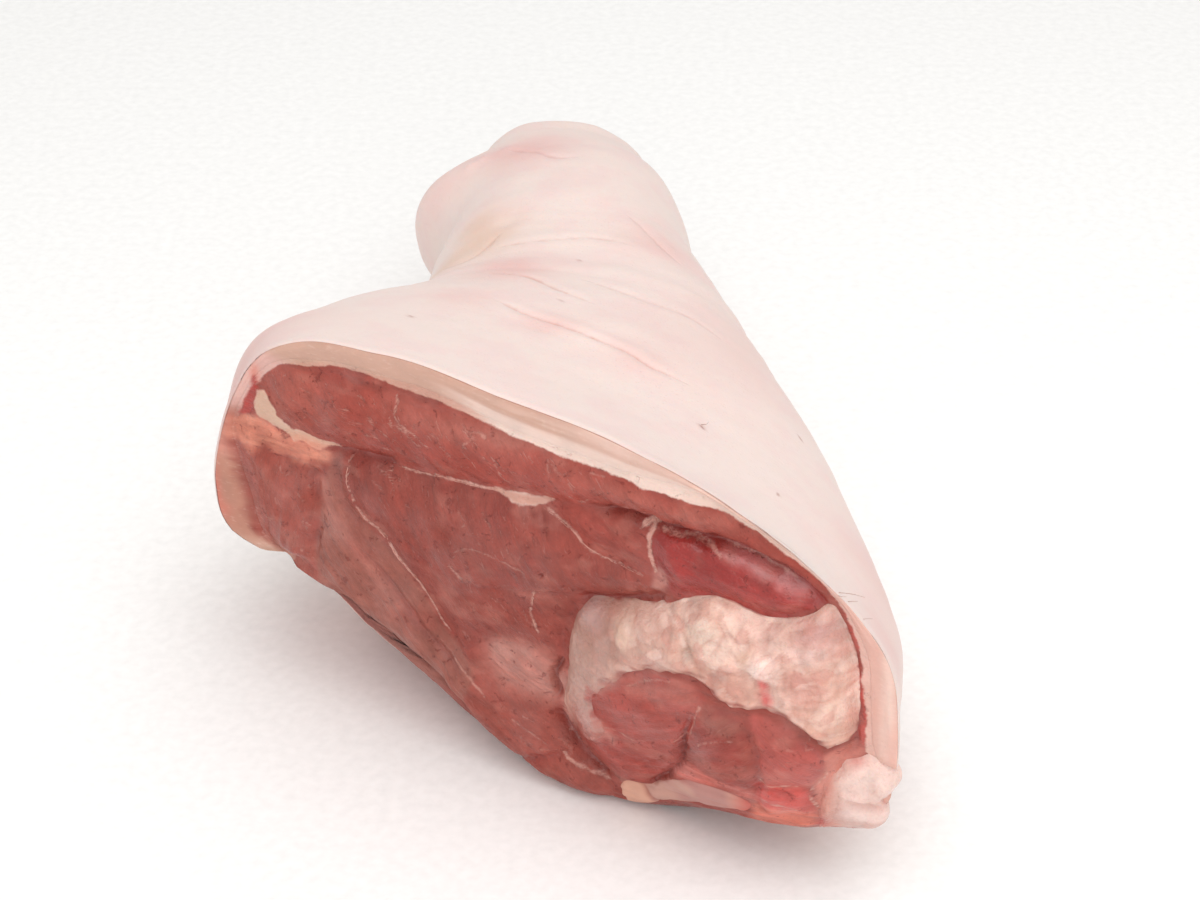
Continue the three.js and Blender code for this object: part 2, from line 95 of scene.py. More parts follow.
# A strand stands up from the seams that are white enough, over a share of their width.
STRAND = {"least": 0.78, "share": 0.42, "widest": 0.8, "points": 30}
HAIR = 0.09  # half the thickness of a bristle
BRISTLES = [(23, 0.002, 3, 1.0), (19, 0.002, 1, 1.0), (76.5, 0.164, 1, 0)]  # angle, at, count, spread

# The ragged lower rim of the cut: each step's height and where it rises, and where both end.
RIM_STEPS = [(1.6, 202, 207), (2.2, 208, 213)]
STEPS_END = (214, 234)
RIM_FADE = 0.03  # how far along the leg the rim's shreds fade out
WAIST = {"from": 0.24, "to": 0.32, "less": 0.9}  # past here the meat draws back from the rind

SWELLINGS = [(46, 66, 66, 58, 10), (-45, 92, 62, 36, 4)]  # u, v, half sizes, height
KNUCKLE = (6, 7, [  # height and edge of the swell round the knuckle, outline
    (3, 16), (-4, 23), (-9, 29), (-13, 41), (-12, 52), (-11, 66), (-9, 77), (-5, 86), (11, 89),
    (21, 94), (29, 99), (37, 103), (52, 104), (60, 102), (68, 104), (75, 109), (80, 113),
    (85, 108), (89, 99), (91, 87), (91, 72), (88, 58), (84, 40), (84, 18), (58, 16), (36, 20),
    (22, 18), (12, 12)])

# From here on, places on the cut are as the camera sees them on its flat plane, before the swell
# of the face moves them; on_face() finds where they truly lie.

# Muscles: height and edge of the swell, angle of the fibres, outline.
MUSCLES = {
    "lower": (4, 5, -38, [
        (-57, 57), (-48, 57), (-41, 51), (-39, 42), (-30, 38), (-17, 38), (-15, 32), (-12, 27),
        (-8, 20), (0, 14), (5, 10), (8, 0), (4, -6), (-24, -6), (-47, 8), (-60, 20), (-60, 38),
        (-55, 48)]),
    "flank": (4, 5, 80, [
        (-142, 104), (-128, 105), (-104.5, 104), (-104.5, 92), (-107, 78), (-107.5, 64),
        (-110, 47), (-122, 50), (-135, 60), (-131, 78), (-134, 96)]),
    "sheet": (2.5, 3.5, -52, [
        (-102, 104), (-97, 113), (-97.5, 104), (-96, 96), (-92, 89), (-84, 84), (-78, 78),
        (-71, 69), (-64, 60), (-57, 50), (-50, 42), (-47, 34), (-56, 20), (-84, 34), (-108, 44),
        (-107, 78), (-104, 92)]),
    "central": (4, 5, -62, [
        (-92, 114), (-61, 115), (-35, 116.5), (-22, 118), (-11, 111), (-1, 105.5), (20, 101.5),
        (26, 99.5), (20, 96.5), (12, 93.5), (5, 91), (-2, 89), (-7, 87), (-10, 82), (-13, 74),
        (-14, 66), (-14.5, 59), (-20, 56), (-30, 58), (-38, 58), (-45, 53), (-51, 46), (-58, 54),
        (-65, 64), (-72, 73), (-79, 83), (-87, 89), (-92, 95), (-94, 103), (-93, 110)]),
    "upper": (3.5, 4, -40, [
        (-124, 131), (-123, 138), (-114, 141.5), (-88, 142), (-76, 140), (-60, 141.5),
        (-48, 141.5), (-35, 139.5), (-12, 138), (0, 138), (14, 135.5), (28, 135), (42, 137),
        (50, 136), (60, 131), (72, 124), (80, 118), (70, 122.5), (55, 125.5), (35, 126),
        (18, 126), (4, 125), (-6, 123), (-12, 120.5), (-22, 119), (-35, 118.5), (-50, 117),
        (-78, 115), (-97, 114.5), (-105, 114.5), (-115, 116), (-120, 121)]),
    "wedge": (2.5, 4, -30, [
        (-20, 119.5), (-8, 121.5), (2, 121.5), (15, 121), (17, 113), (19, 105), (24, 101),
        (13, 102), (-1, 105.5), (-11, 111.5)]),
    "wet": (5, 5, -12, [
        (19, 121), (28, 122.5), (40, 123), (55, 122), (68, 119), (77, 115), (78.5, 113.5),
        (74, 109), (69, 105), (62, 101), (56, 100.5), (50, 102), (43, 103), (36, 102),
        (29, 98.5), (24, 100), (20, 105), (18, 113)]),
    "lump": (2.0, 6, -30, [
        (-42, 52), (-37, 57), (-28, 58), (-19, 57), (-14.5, 52), (-14, 44), (-17, 38), (-27, 38),
        (-36, 40), (-42, 46)]),
    "knuckle_left": (2, 5, 28, [
        (5, 58), (10, 60), (15, 63), (22, 66), (30, 67), (36, 65), (36.5, 61), (34.5, 57),
        (33, 52), (31.5, 46), (30.5, 38), (29, 31), (26, 26), (22, 21), (17, 16.5), (10, 16.5),
        (4, 18), (-1, 21), (-5, 25), (-9, 30), (-10, 38), (-6, 48), (0, 54)]),
    "knuckle_middle": (1.6, 4, 40, [
        (37.5, 60.5), (41, 61), (45, 60.5), (49, 58.5), (52, 54), (55, 48), (56.5, 42), (56, 36),
        (52, 31.5), (46, 29.5), (38, 30), (33, 32), (32, 40), (33, 47), (35, 54)]),
    "knuckle_right": (2.4, 3.5, -35, [
        (52, 62), (57, 63), (64, 62), (70, 59), (75, 57), (79, 54), (79, 48), (77, 43), (73, 40),
        (66, 38), (60, 37), (57, 40), (56.5, 46), (53, 54)]),
    "blood_fold": (2.2, 2, 20, [
        (57, 36), (62, 36.5), (68, 38), (74, 39.5), (76, 35), (78, 31), (74, 27), (66, 25),
        (60, 22), (57, 26), (56, 31)]),
    "sinew": (2.6, 3.5, 75, [
        (80, 56), (85, 58), (88, 52), (88, 44), (86, 36), (83, 28), (80, 29), (78, 35), (77, 42),
        (80, 48)])}

# The knob of fat over the knuckle: its outer and inner edge, from the lower left to the lower right.
PAD = {
    "outer": [
        (-4.5, 25.5), (-9, 29.5), (-13, 34.5), (-15, 40), (-13.8, 46), (-12.8, 52), (-12.6, 58),
        (-12.2, 64), (-11.6, 70), (-10, 76), (-7.5, 81), (-4, 84.5), (3, 86), (10, 88), (16, 90),
        (21, 92.2), (26, 95.3), (30, 98.3), (35, 101), (40, 102.8), (45, 103), (50, 101.6),
        (56, 100.6), (62, 101.6), (68, 104.3), (73, 107.8), (77, 111.6), (79.5, 112.6), (82, 110),
        (84.5, 105.5), (86.5, 101), (88.3, 95), (89.3, 88), (89.6, 80), (89.6, 72), (89, 66),
        (86.5, 61.5)],
    "inner": [
        (-2, 27.5), (0, 31.5), (-1, 36), (-3.5, 41), (-2, 47), (2, 52), (6, 56.5), (11, 60.5),
        (16, 63.7), (22, 66.5), (29, 67.5), (35, 66), (39, 62.3), (44, 61.2), (49, 60.6),
        (53, 62.6), (57, 64.3), (62, 64), (67, 62), (71, 60), (75, 58.5), (79, 56.8)],
    "depth": 6.0, "above": 2.0, "length": 240}
PAD_LUMPS = [  # u, v, half sizes, height
    (57, 84, 6.5, 5, 1.7), (38, 87, 7.5, 6.5, 1.3), (45, 79, 5.5, 3.6, 1.2), (44, 97, 5, 5, 0.8),
    (20, 70, 4, 3, 0.8), (9, 77, 4.5, 4, 0.8), (18, 85, 4, 3, 0.7), (75, 92, 8, 4, 0.6),
    (81, 70, 6, 9, 0.5), (62, 73, 2.5, 7, 0.5), (67, 66, 4, 4, 0.6), (12, 66, 7, 4, 0.4),
    (-6, 56, 5, 8, 0.4), (71, 77, 3, 3, -0.9), (30, 78, 2.6, 3, -1.2), (33, 74.5, 3, 2.6, -0.8),
    (29, 68.5, 4, 1.3, -0.7), (38, 72.5, 1.6, 1.2, -0.7), (24, 87, 2.4, 3.4, -0.7),
    (0, 52, 2.6, 1.3, -0.9), (75, 102, 7, 4, -0.5)]
PAD_CREASES = [
    [(50, 84), (47, 90), (44, 95)], [(50, 84), (51, 91), (52, 97)], [(41, 83), (43, 90), (41, 96)],
    [(52, 79), (48, 76), (41, 75.5)], [(64, 89), (65, 80), (64, 71)],
    [(70, 84), (67, 80), (67, 76), (70, 73.5), (74, 75), (75, 79), (74, 83)],
    [(30, 83), (31, 77), (34, 72), (38, 70)], [(12, 86), (16, 81.5), (20, 83)],
    [(22, 91), (24, 86), (23, 81)], [(66, 97.5), (71, 97), (77, 99)],
    [(69, 101), (74, 104), (79, 104)], [(56, 99), (58, 94), (57, 90)], [(8, 82), (5, 76), (6, 70)],
    [(54, 66), (53, 71), (54, 77)], [(80, 96), (82, 88), (82, 76), (80, 66)]]
# The pale cream on the raised lumps is partly a painted highlight and partly the fat's own cream; the
# darker colour in the dents is partly painted shade.
PAD_PAINT = [  # colour, strength, u, v, half sizes
    ((182, 142, 130), 0.9, -6, 62, 17, 30), ((164, 116, 102), 0.9, 0, 75, 15, 12),
    ((204, 164, 150), 0.7, 18, 78, 9, 8), ((164, 86, 74), 1.0, -5, 31, 11, 12),
    ((182, 143, 137), 0.8, -4, 80, 6, 5), ((188, 148, 138), 0.6, -8, 46, 6, 7),
    ((206, 160, 152), 0.6, -5, 37, 6, 5), ((222, 186, 166), 0.8, 9, 77, 4.5, 4),
    ((200, 168, 158), 0.7, 20, 70, 4, 3), ((218, 168, 152), 0.7, 18, 85, 5, 3),
    ((224, 196, 180), 0.9, 37, 87, 8, 7), ((238, 194, 178), 0.9, 45, 79, 5.5, 3.6),
    ((244, 216, 206), 1.0, 57, 84, 6.5, 5), ((234, 192, 176), 0.8, 45, 97, 7, 5),
    ((240, 200, 186), 0.8, 58, 95, 8, 5), ((242, 206, 196), 0.9, 74, 93, 9, 4),
    ((196, 158, 130), 0.7, 50, 84.5, 2, 3), ((160, 132, 116), 0.8, 30, 78, 2.6, 3.2),
    ((182, 138, 120), 0.8, 33, 74, 3.4, 3), ((166, 128, 110), 0.8, 29, 68.5, 4.2, 1.4),
    ((170, 100, 88), 0.7, 38, 72.5, 1.6, 1.2), ((176, 142, 130), 0.7, 24, 87, 2.6, 4),
    ((214, 156, 138), 0.95, 42, 68, 10, 6), ((146, 92, 84), 0.95, 0, 52, 2.4, 1.2),
    ((206, 84, 84), 0.9, 56.4, 76, 2.0, 2.2), ((208, 84, 84), 0.95, 57, 69.5, 3.4, 2.8),
    ((214, 110, 104), 0.6, 56.5, 72.5, 2, 6), ((216, 150, 138), 0.75, 71, 78, 6.5, 5.5),
    ((226, 182, 162), 0.7, 81, 70, 7, 12), ((202, 150, 146), 0.75, 75, 102, 8, 5),
    ((196, 164, 154), 0.6, 82, 103, 3, 5), ((228, 166, 154), 0.7, 88.5, 84, 2.2, 20),
    ((216, 158, 142), 0.6, 68, 66, 6, 5)]
PELVIC_BONE = {
    "outer": [
        (6.5, 11.5), (9, 14.5), (14, 15), (18, 16), (22, 19.5), (27, 23), (34, 25.3), (45, 25.8),
        (55, 24)],
    "inner": [
        (8.5, 6.5), (12, 4), (16, 5), (20, 7.7), (25, 10.3), (32, 12.6), (39, 15), (46, 17.6),
        (54, 20)],
    "joint": [(13, 15), (18, 12), (23.5, 10)],
    "above": 1.0}
LOBE = {
    "middle": (92, 44),
    "outline": [
        (101.6, 44.6), (104.8, 49.5), (106.3, 54), (104.5, 58.3), (100, 60.3), (93, 60.2),
        (87, 58.2), (83, 52), (80, 44), (79, 36), (79.5, 27), (82.5, 23.5), (89, 25), (96, 28),
        (101.8, 32), (104, 37), (103.5, 41.5)],
    "groove": [(103, 44.5), (98, 44), (92, 43)],
    "swell": 6.5, "depth": 5.0,
    "paint": [  # colour, strength, u, v, half sizes
        ((196, 158, 150), 0.8, 88, 33, 7, 6), ((242, 214, 206), 0.9, 97, 38.5, 7, 5),
        ((242, 214, 204), 0.8, 100, 54, 6, 6)],
    "stains": [
        ((196, 84, 78), 0.9, 80.5, 27, 1.8, 4), ((214, 120, 108), 0.6, 91, 57, 3, 2)]}
SHANK_BONE = {
    "x": -15, "z": 53, "wide": 14, "high": 12, "from": 168, "to": 198.5,
    "back": [(0.3, 0), (0.85, 0.5), (1, 3)],  # share of the width, mm from the hidden end
    "sawn": [  # share of the width, mm from the sawn end
        (1, 1.5), (0.97, 0.4), (0.9, 0), (0.8, 0), (0.7, 0.1), (0.62, 0.4), (0.54, 1.4),
        (0.44, 2.2), (0.3, 2.5), (0.15, 2.6)]}

# Fat that shows in the cut, apart from the band under the skin.
FAT_PATCHES = {
    "corner": [
        (-124.5, 128), (-127.5, 126.5), (-129.3, 122), (-129.3, 116.5), (-124, 115.8),
        (-119, 114.3), (-116, 112.5), (-114.5, 110.3), (-112, 112), (-108, 110.8),
        (-105.5, 110.5), (-104, 112), (-99, 112.5), (-97, 113.8), (-103, 115), (-110, 115.3),
        (-116, 116), (-118.5, 118), (-120.5, 121), (-122.5, 125)],
    "flap": [
        (-149, 71), (-148, 88), (-145, 96), (-140, 96), (-136, 93), (-133, 86), (-131, 78),
        (-130, 72), (-131, 67), (-138, 64), (-146, 65)],
    "right_fold": [
        (88, 110), (93, 108), (98, 100), (101, 90), (102, 78), (102, 66), (100, 58), (93, 60),
        (93, 72), (92.5, 86), (90.5, 97)],
    "junction": [
        (-39, 117.6), (-31, 118.5), (-24, 118.6), (-16, 120.8), (-20, 117.4), (-24, 115.6),
        (-29, 114.8), (-34, 115.8)],
    "foot": [(96, 60), (106, 57), (109, 44), (107, 28), (98, 24), (92, 30), (92, 48)]}

# Membranes, stains and other patches on the meat, and a painted violet sheen: colour, strength,
# softness of the edge, outline.
PAINTED = [
    ("membrane", 0.9, 2.2, [
        (-145, 103), (-143, 111), (-137, 115.5), (-129, 116.5), (-119, 114.5), (-108, 111),
        (-100, 111), (-104, 105.5), (-115, 104), (-128, 104)]),
    ("veil", 0.75, 2.5, [
        (-15, 38), (-9, 30), (-4, 27), (0, 32), (6, 31.5), (4, 34.5), (-1, 38), (-4, 45),
        (0, 51), (6, 55), (9, 59), (2, 62), (-10, 60)]),
    ("veil", 0.6, 1.2, [(18, 106), (22, 106.5), (25, 102), (22, 97), (18, 98), (19, 102)]),
    ("pale", 0.3, 2.5, [(6, 55), (12, 60), (22, 65), (33, 66), (36, 61), (27, 58), (15, 53)]),
    ("grey", 0.7, 3.0, [(37, 60), (47, 60), (50, 56), (48, 52), (40, 51), (36, 54)]),
    ("brown", 0.7, 2.0, [(50, 58), (53, 54), (56, 47), (56, 40), (52, 42), (51, 50)]),
    ("brown", 0.7, 3.0, [(-11, 26), (-7, 22), (-1, 17), (4, 14), (-4, 14), (-11, 18)]),
    ("pink_floor", 0.75, 1.6, [
        (24, 24), (33, 26.5), (45, 27.5), (55, 26), (56, 31), (48, 30.5), (38, 31), (32, 33.5),
        (29, 30)]),
    ("blood", 0.9, 2.0, [
        (57, 36), (63, 36), (70, 38.5), (74, 38), (73, 31), (66, 28), (58, 28), (54, 31)]),
    ("orange", 0.85, 2.0, [
        (58, 27), (66, 28), (75, 30), (80, 31), (79, 24), (70, 22), (60, 18), (54, 19), (55, 24)]),
    ("blood", 0.7, 1.2, [(80, 31), (83, 30), (82.5, 24), (79, 24)]),
    ("brown", 0.5, 2.0, [(56, 63), (66, 62), (72, 59), (66, 55), (57, 57)]),
    # A painted violet sheen along the top of the wet muscle.
    ("violet", 0.65, 1.6, [
        (40, 123), (55, 122.5), (68, 119.5), (77, 115), (70, 113.5), (60, 115), (50, 117),
        (42, 119)]),
    ("blood", 0.15, 2.5, [
        (28, 99), (40, 104), (56, 102), (68, 106), (76, 112), (66, 113), (50, 110), (34, 106)]),
    ("blood", 0.7, 1.2, [(83, 114), (87, 114.5), (90, 108), (90, 97), (86, 105)]),
    ("blood", 0.75, 1.0, [(90.5, 92), (93.5, 84), (93.5, 72), (92.5, 63), (90, 66), (90.5, 80)]),
    ("sinew", 0.7, 2.0, [(86, 63), (93, 62), (93, 58), (88, 56), (82, 50), (80, 54)]),
    ("veil", 0.5, 2.0, [(-42, 53), (-34, 57), (-25, 57), (-27, 53), (-36, 50)])]

# The open gap at the upper left of the cut, between the fat band and the membrane.
GAP = [(-127.5, 135.8), (-126.5, 131), (-129.1, 123.9), (-129.8, 117.7), (-136.3, 115),
       (-132.5, 121.6), (-129.8, 128.8)]

STRIPE = [  # the pale edge of the sheet beside the central muscle
    (-104, 98), (-103, 90), (-99, 83), (-93, 76), (-88, 69), (-83, 62), (-78, 55)]
FLAP_SHADOW = [(-139, 65.5), (-131.5, 68.8), (-131, 66), (-134, 64)]  # true place, under the flap
DAMP = [(0.6, (66, 30), 14, 12), (0.4, (20, 45), 22, 20)]  # how wet, place, half sizes
PALE_SPOTS = [  # how pale, true place, half sizes
    (0.3, -112, 132, 14, 9), (0.35, -45, 137, 30, 4), (0.25, 20, 131, 40, 3)]
FAT_SPOTS = {  # true place, half sizes
    "fold": (99.5, 84, 2.6, 26), "rim": (-148, 80, 2.2, 13), "foot": (-145, 72, 3, 4),
    "membrane": (-108, 111, 9, 3.4), "corner": (-128.3, 133, 1.8, 4.5)}

# Furrows between the muscles: depth, width, how dark, points. Their dark is partly the furrows' own
# dark red and partly painted shade.
FURROWS = [
    (4.5, 2.1, 0.95, [(-6, 122.8), (2, 124), (10, 125), (20, 125), (35, 125.3), (50, 124.8),
     (62, 122.3), (72, 118.8), (80, 114.2), (84, 110)]),
    (2.0, 1.7, 0.8, [(-103, 114.5), (-97, 113.5), (-93, 114.8), (-88, 115.2), (-80, 115),
     (-74, 115.2)]),
    (3.4, 2.3, 0.85, [(-8, 85.3), (-3, 86.7), (3, 88.2), (10, 90.7), (18, 93.8), (25, 97)]),
    (0.9, 1.2, 0.3, [(-8, 84), (-11, 77), (-13, 68), (-13.5, 60)]),
    (3.2, 1.5, 0.9, [(-12.8, 60), (-15, 54.5), (-16.5, 50), (-15.3, 45), (-15.2, 40)]),
    (3.2, 1.9, 0.9, [(-15, 37), (-13, 31.5), (-10, 26.5), (-7, 22), (-2, 18), (5, 14.8)]),
    (5.0, 1.4, 0.95, [(78, 114.5), (82, 112), (84.5, 107.5), (86.5, 103), (88.5, 98), (90, 93),
     (90.6, 88), (90.8, 82), (90.9, 76), (91, 70), (91, 64), (89.5, 59)]),
    (1.1, 1.8, 0.35, [(-106, 104), (-107, 97), (-106, 89)]),
    (0.8, 1.5, 0.25, [(-108, 83), (-107.3, 75), (-107.6, 64)]),
    (1.8, 1.7, 0.6, [(-96, 113.5), (-98.3, 107), (-97.8, 100), (-95.8, 93), (-92, 88), (-87, 85)]),
    (1.6, 1.7, 0.5, [(-91, 78), (-84, 69.5), (-77, 61), (-70, 53.5), (-65, 48.5), (-58, 42),
     (-50, 34)]),
    (2.8, 1.2, 0.95, [(33.5, 57), (31.5, 51), (30.7, 45), (30.3, 40), (29.8, 34), (27.5, 28.5),
     (24, 23), (19, 17.5)]),
    (1.5, 1.6, 0.6, [(51, 58.5), (53.5, 52), (56, 46), (56.5, 40), (56, 34), (55, 28)]),
    (1.0, 1.1, 0.7, [(-71.5, 85.7), (-68.5, 82.5), (-66, 79.5), (-61.5, 78.5)]),
    (0.7, 0.9, 0.45, [(-55, 75.2), (-48, 75.2), (-38, 77.5), (-28, 80.5), (-18, 83), (-9, 84.5)]),
    (1.2, 1.0, 1.0, [(-21.4, 90), (-20.8, 88.6)]),
    (2.6, 1.5, 1.0, [(-137.5, 115.5), (-134, 117), (-131.5, 119.5), (-130, 124), (-129, 128.5),
     (-128.3, 133), (-127, 137)]),
    (1.4, 1.4, 0.45, [(-36, 7), (-26, 10), (-16, 15), (-10, 20)]),
    (0.9, 1.1, 0.5, [(0, 28), (5, 27.3), (10, 26.3), (15, 26), (20, 28.5), (24, 33.5)]),
    (1.0, 0.9, 0.6, [(69, 58), (75, 56.2), (79, 51)]),
    (1.6, 1.2, 0.6, [(52, 29.5), (56, 33), (60, 34.5), (66, 34.8), (71, 33)]),
    (0.5, 0.8, 0.35, [(-141, 103), (-130, 104), (-120, 103.3), (-110, 105)])]

# White seams: how white, half width at both ends, points.
SEAMS = [
    (1.0, 0.35, 0.6, [(-74, 114), (-68, 114.4), (-60, 115.3), (-50, 115.7), (-42, 116.9),
     (-36, 117.6)]),
    (0.9, 0.3, 0.2, [(-54.5, 115.5), (-55.6, 113.2)]),
    (0.8, 0.55, 0.25, [(-21, 116.5), (-15, 113.5), (-10, 110.7), (-6, 107), (0, 104.6), (8, 102.7),
     (18, 101)]),
    (0.8, 0.35, 0.6, [(-90.5, 114.3), (-93, 110.5), (-94, 104), (-93.6, 98), (-91.5, 93)]),
    (0.85, 0.6, 0.6, [(-91.5, 93), (-88, 89), (-83, 86), (-79.3, 83.3)]),
    (0.85, 0.8, 0.45, [(-79.3, 83.3), (-77, 79), (-73, 74), (-69, 69), (-65, 64.5), (-61, 59),
     (-56, 51.5)]),
    (0.6, 0.4, 0.45, [(-57, 43), (-52, 37.5), (-47, 33), (-43, 28)]),
    (0.8, 0.4, 0.5, [(-24, 82), (-25, 76), (-25.5, 71), (-23, 65)]),
    (1.0, 1.0, 0.8, [(14.5, 120), (17, 122.3), (19.5, 123)]),
    (0.95, 1.0, 0.7, [(17.8, 122), (17.3, 117), (17.4, 112), (18.3, 107.5), (20, 103.5)]),
    (0.6, 0.6, 0.45, [(19.5, 121.3), (25, 121), (31, 122), (36, 121.6), (40, 119.5), (42.5, 118)]),
    (0.5, 0.4, 0.3, [(40, 122.8), (46, 122), (53, 121.3), (60, 119.5), (68, 117)]),
    (0.75, 0.5, 0.3, [(-73, 143), (-73.5, 138), (-74, 133.5), (-71, 130.5), (-67, 128), (-64, 126),
     (-60, 125.5)]),
    (0.5, 0.3, 0.3, [(-48.6, 141), (-48, 136.3), (-44, 137), (-40, 136)]),
    (0.55, 0.6, 0.4, [(-77, 114), (-77.5, 109), (-76, 103)]),
    (0.5, 0.4, 0.3, [(-55, 83), (-52.5, 88.5), (-46, 90.5), (-38, 90.5), (-31, 88.5),
     (-26, 86.5)]),
    (0.5, 0.8, 0.5, [(-56, 81), (-53.5, 78.5), (-51, 76)]),
    (0.55, 0.5, 0.3, [(36.3, 60.5), (34.3, 56.5), (33, 51), (32.3, 46.5), (29.5, 43), (26.5, 40),
     (24, 37)]),
    (0.4, 0.35, 0.3, [(35, 42), (38, 45), (42, 48), (48, 51)]),
    (0.4, 0.4, 0.3, [(9, 56.5), (15, 60), (20, 63), (26, 65)]),
    (0.45, 0.45, 0.3, [(1, 35.3), (8, 36.5), (14, 35.5), (19, 38)]),
    (0.7, 0.8, 0.5, [(-15.5, 16.5), (-11, 14.5), (-6, 13), (0, 12.3), (5, 12.8)]),
    (0.5, 0.5, 0.3, [(-34, 24), (-26, 20.5), (-19, 17)]),
    (0.7, 0.6, 0.5, [(54.5, 36.5), (58, 35.5), (62, 36.5), (66, 38.2), (72, 39.8)]),
    (0.7, 0.5, 0.4, [(75, 38.5), (77, 41.5), (80, 46), (81, 50)]),
    (0.7, 0.8, 0.5, [(75.5, 36.5), (78, 33), (81, 30.3)]),
    (0.6, 0.6, 0.4, [(57, 29.5), (61, 27.5), (65, 28.5), (70, 28.3), (75, 29.5)])]
FLECKS = [  # short pale strokes in the meat: how many, how white, middle, half sizes
    (34, 0.55, -72, 124, 22, 8), (16, 0.4, -25, 129, 24, 7), (10, 0.35, -96, 128, 18, 8),
    (12, 0.3, -60, 98, 25, 12), (12, 0.35, -118, 80, 10, 18), (10, 0.3, -36, 70, 16, 10),
    (8, 0.4, 64, 54, 10, 7), (8, 0.35, -20, 22, 16, 8)]

# Creases of the skin: depth, how pink, points (degrees round, share along).
CREASES = [
    (0.9, 1.0, [(101, 0.318), (96.5, 0.294), (92, 0.284), (87.5, 0.272), (83, 0.266),
     (79.5, 0.252), (72.5, 0.252)]),
    (0.6, 0.8, [(107, 0.452), (101, 0.442), (94, 0.432), (89.5, 0.398), (83.5, 0.374)]),
    (0.45, 0.5, [(84, 0.454), (73.5, 0.434), (65.5, 0.43), (58, 0.43), (50, 0.412)]),
    (0.5, 0.45, [(109.5, 0.564), (101.5, 0.56), (90.5, 0.568), (78.5, 0.582), (66, 0.578)]),
    (0.35, 0.5, [(130, 0.555), (122.5, 0.546), (114, 0.556), (106, 0.6)]),
    (0.4, 0.5, [(118, 0.9), (108, 0.87), (99.5, 0.852), (90.5, 0.82), (80, 0.82)]),
    (0.35, 0.25, [(64, 0.66), (58, 0.63), (53, 0.60), (47, 0.58)])]
FLUSHES = [  # pink patches: angle, share along, radius, strength
    (100, 0.462, 17, 0.7), (108, 0.30, 13, 0.35), (93, 0.28, 11, 0.5), (82, 0.258, 11, 0.4),
    (112, 0.88, 16, 0.5), (96, 0.86, 16, 0.35), (54, 0.61, 17, 0.5), (30, 0.45, 30, 0.3),
    (22, 0.16, 26, 0.5), (160, 0.05, 26, 0.9), (60, 0.33, 30, 0.2), (150, 0.9, 16, 0.4),
    (14, 0.05, 16, 0.5)]
TANS = [(113, 0.59, 15, 0.75), (118, 0.65, 11, 0.45), (132, 0.56, 9, 0.5)]
SKIN_LUMPS = [(137, 0.878, 3.0, 1.3), (131, 0.886, 2.6, 1.0), (117, 0.9, 3.4, 0.9),
              (104.5, 0.63, 5.0, -1.2)]
SPECKS = [(119, 0.162, 1.0), (76.5, 0.164, 1.1), (84, 0.515, 0.8), (89.5, 0.358, 0.6),
          (60, 0.12, 0.6), (140, 0.4, 0.7), (35, 0.3, 0.7), (20, 0.5, 0.8), (165, 0.3, 0.7)]

# Mesh density, and how far along the leg its rings lie
FACE_CELLS = 240
RIND_COLUMNS = 420
SIDE_STATIONS = (0.03, 0.045, 0.06, 0.075, 0.09, 0.105, 0.12, 0.14, 0.16, 0.18, 0.2, 0.22, 0.24,
                 0.27, 0.32, 0.37, 0.42, 0.47, 0.52, 0.57, 0.62, 0.68, 0.75, 0.83, 0.91, 1.0)
SAWN_RINGS = (1.0, 0.86, 0.72, 0.58, 0.44, 0.3, 0.15)
SKIN_RINGS = (0, 0.0016, 0.004, 0.008, 0.0125, *np.linspace(0.0175, 1, 182))
INSIDE_RINGS = (0.96, 0.86, 0.74, 0.6, 0.46, 0.34, 0.25, 0.18, 0.12, 0.07, 0.03)
HIDDEN_BAND = (0, 0.35, 0.7, 0.9)
SHOWN_BAND = (1, 0.92, 0.84, 0.76, 0.68, 0.6, 0.52, 0.44, 0.36, 0.28, 0.2, 0.13, 0.07)
PAD_GRID = (300, 64)
PELVIC_GRID = (130, 32)

# ---- Floor, light and camera, metres ----------------------------------

FLOOR_HALF = 3.0
WORLD = {"colour": (1.0, 0.985, 0.97, 1), "strength": 0.68}
LIGHTS = [  # name, size, watts, place, aim
    ("top_light", 1.3, 10.0, (0.12, -0.4, 1.3), (0, 0, 0.05)),
    ("front_light", 1.0, 4, (0.1, -1.5, 0.7), (0, 0, 0.08))]

# ---- Colours, as they look on screen ----------------------------------

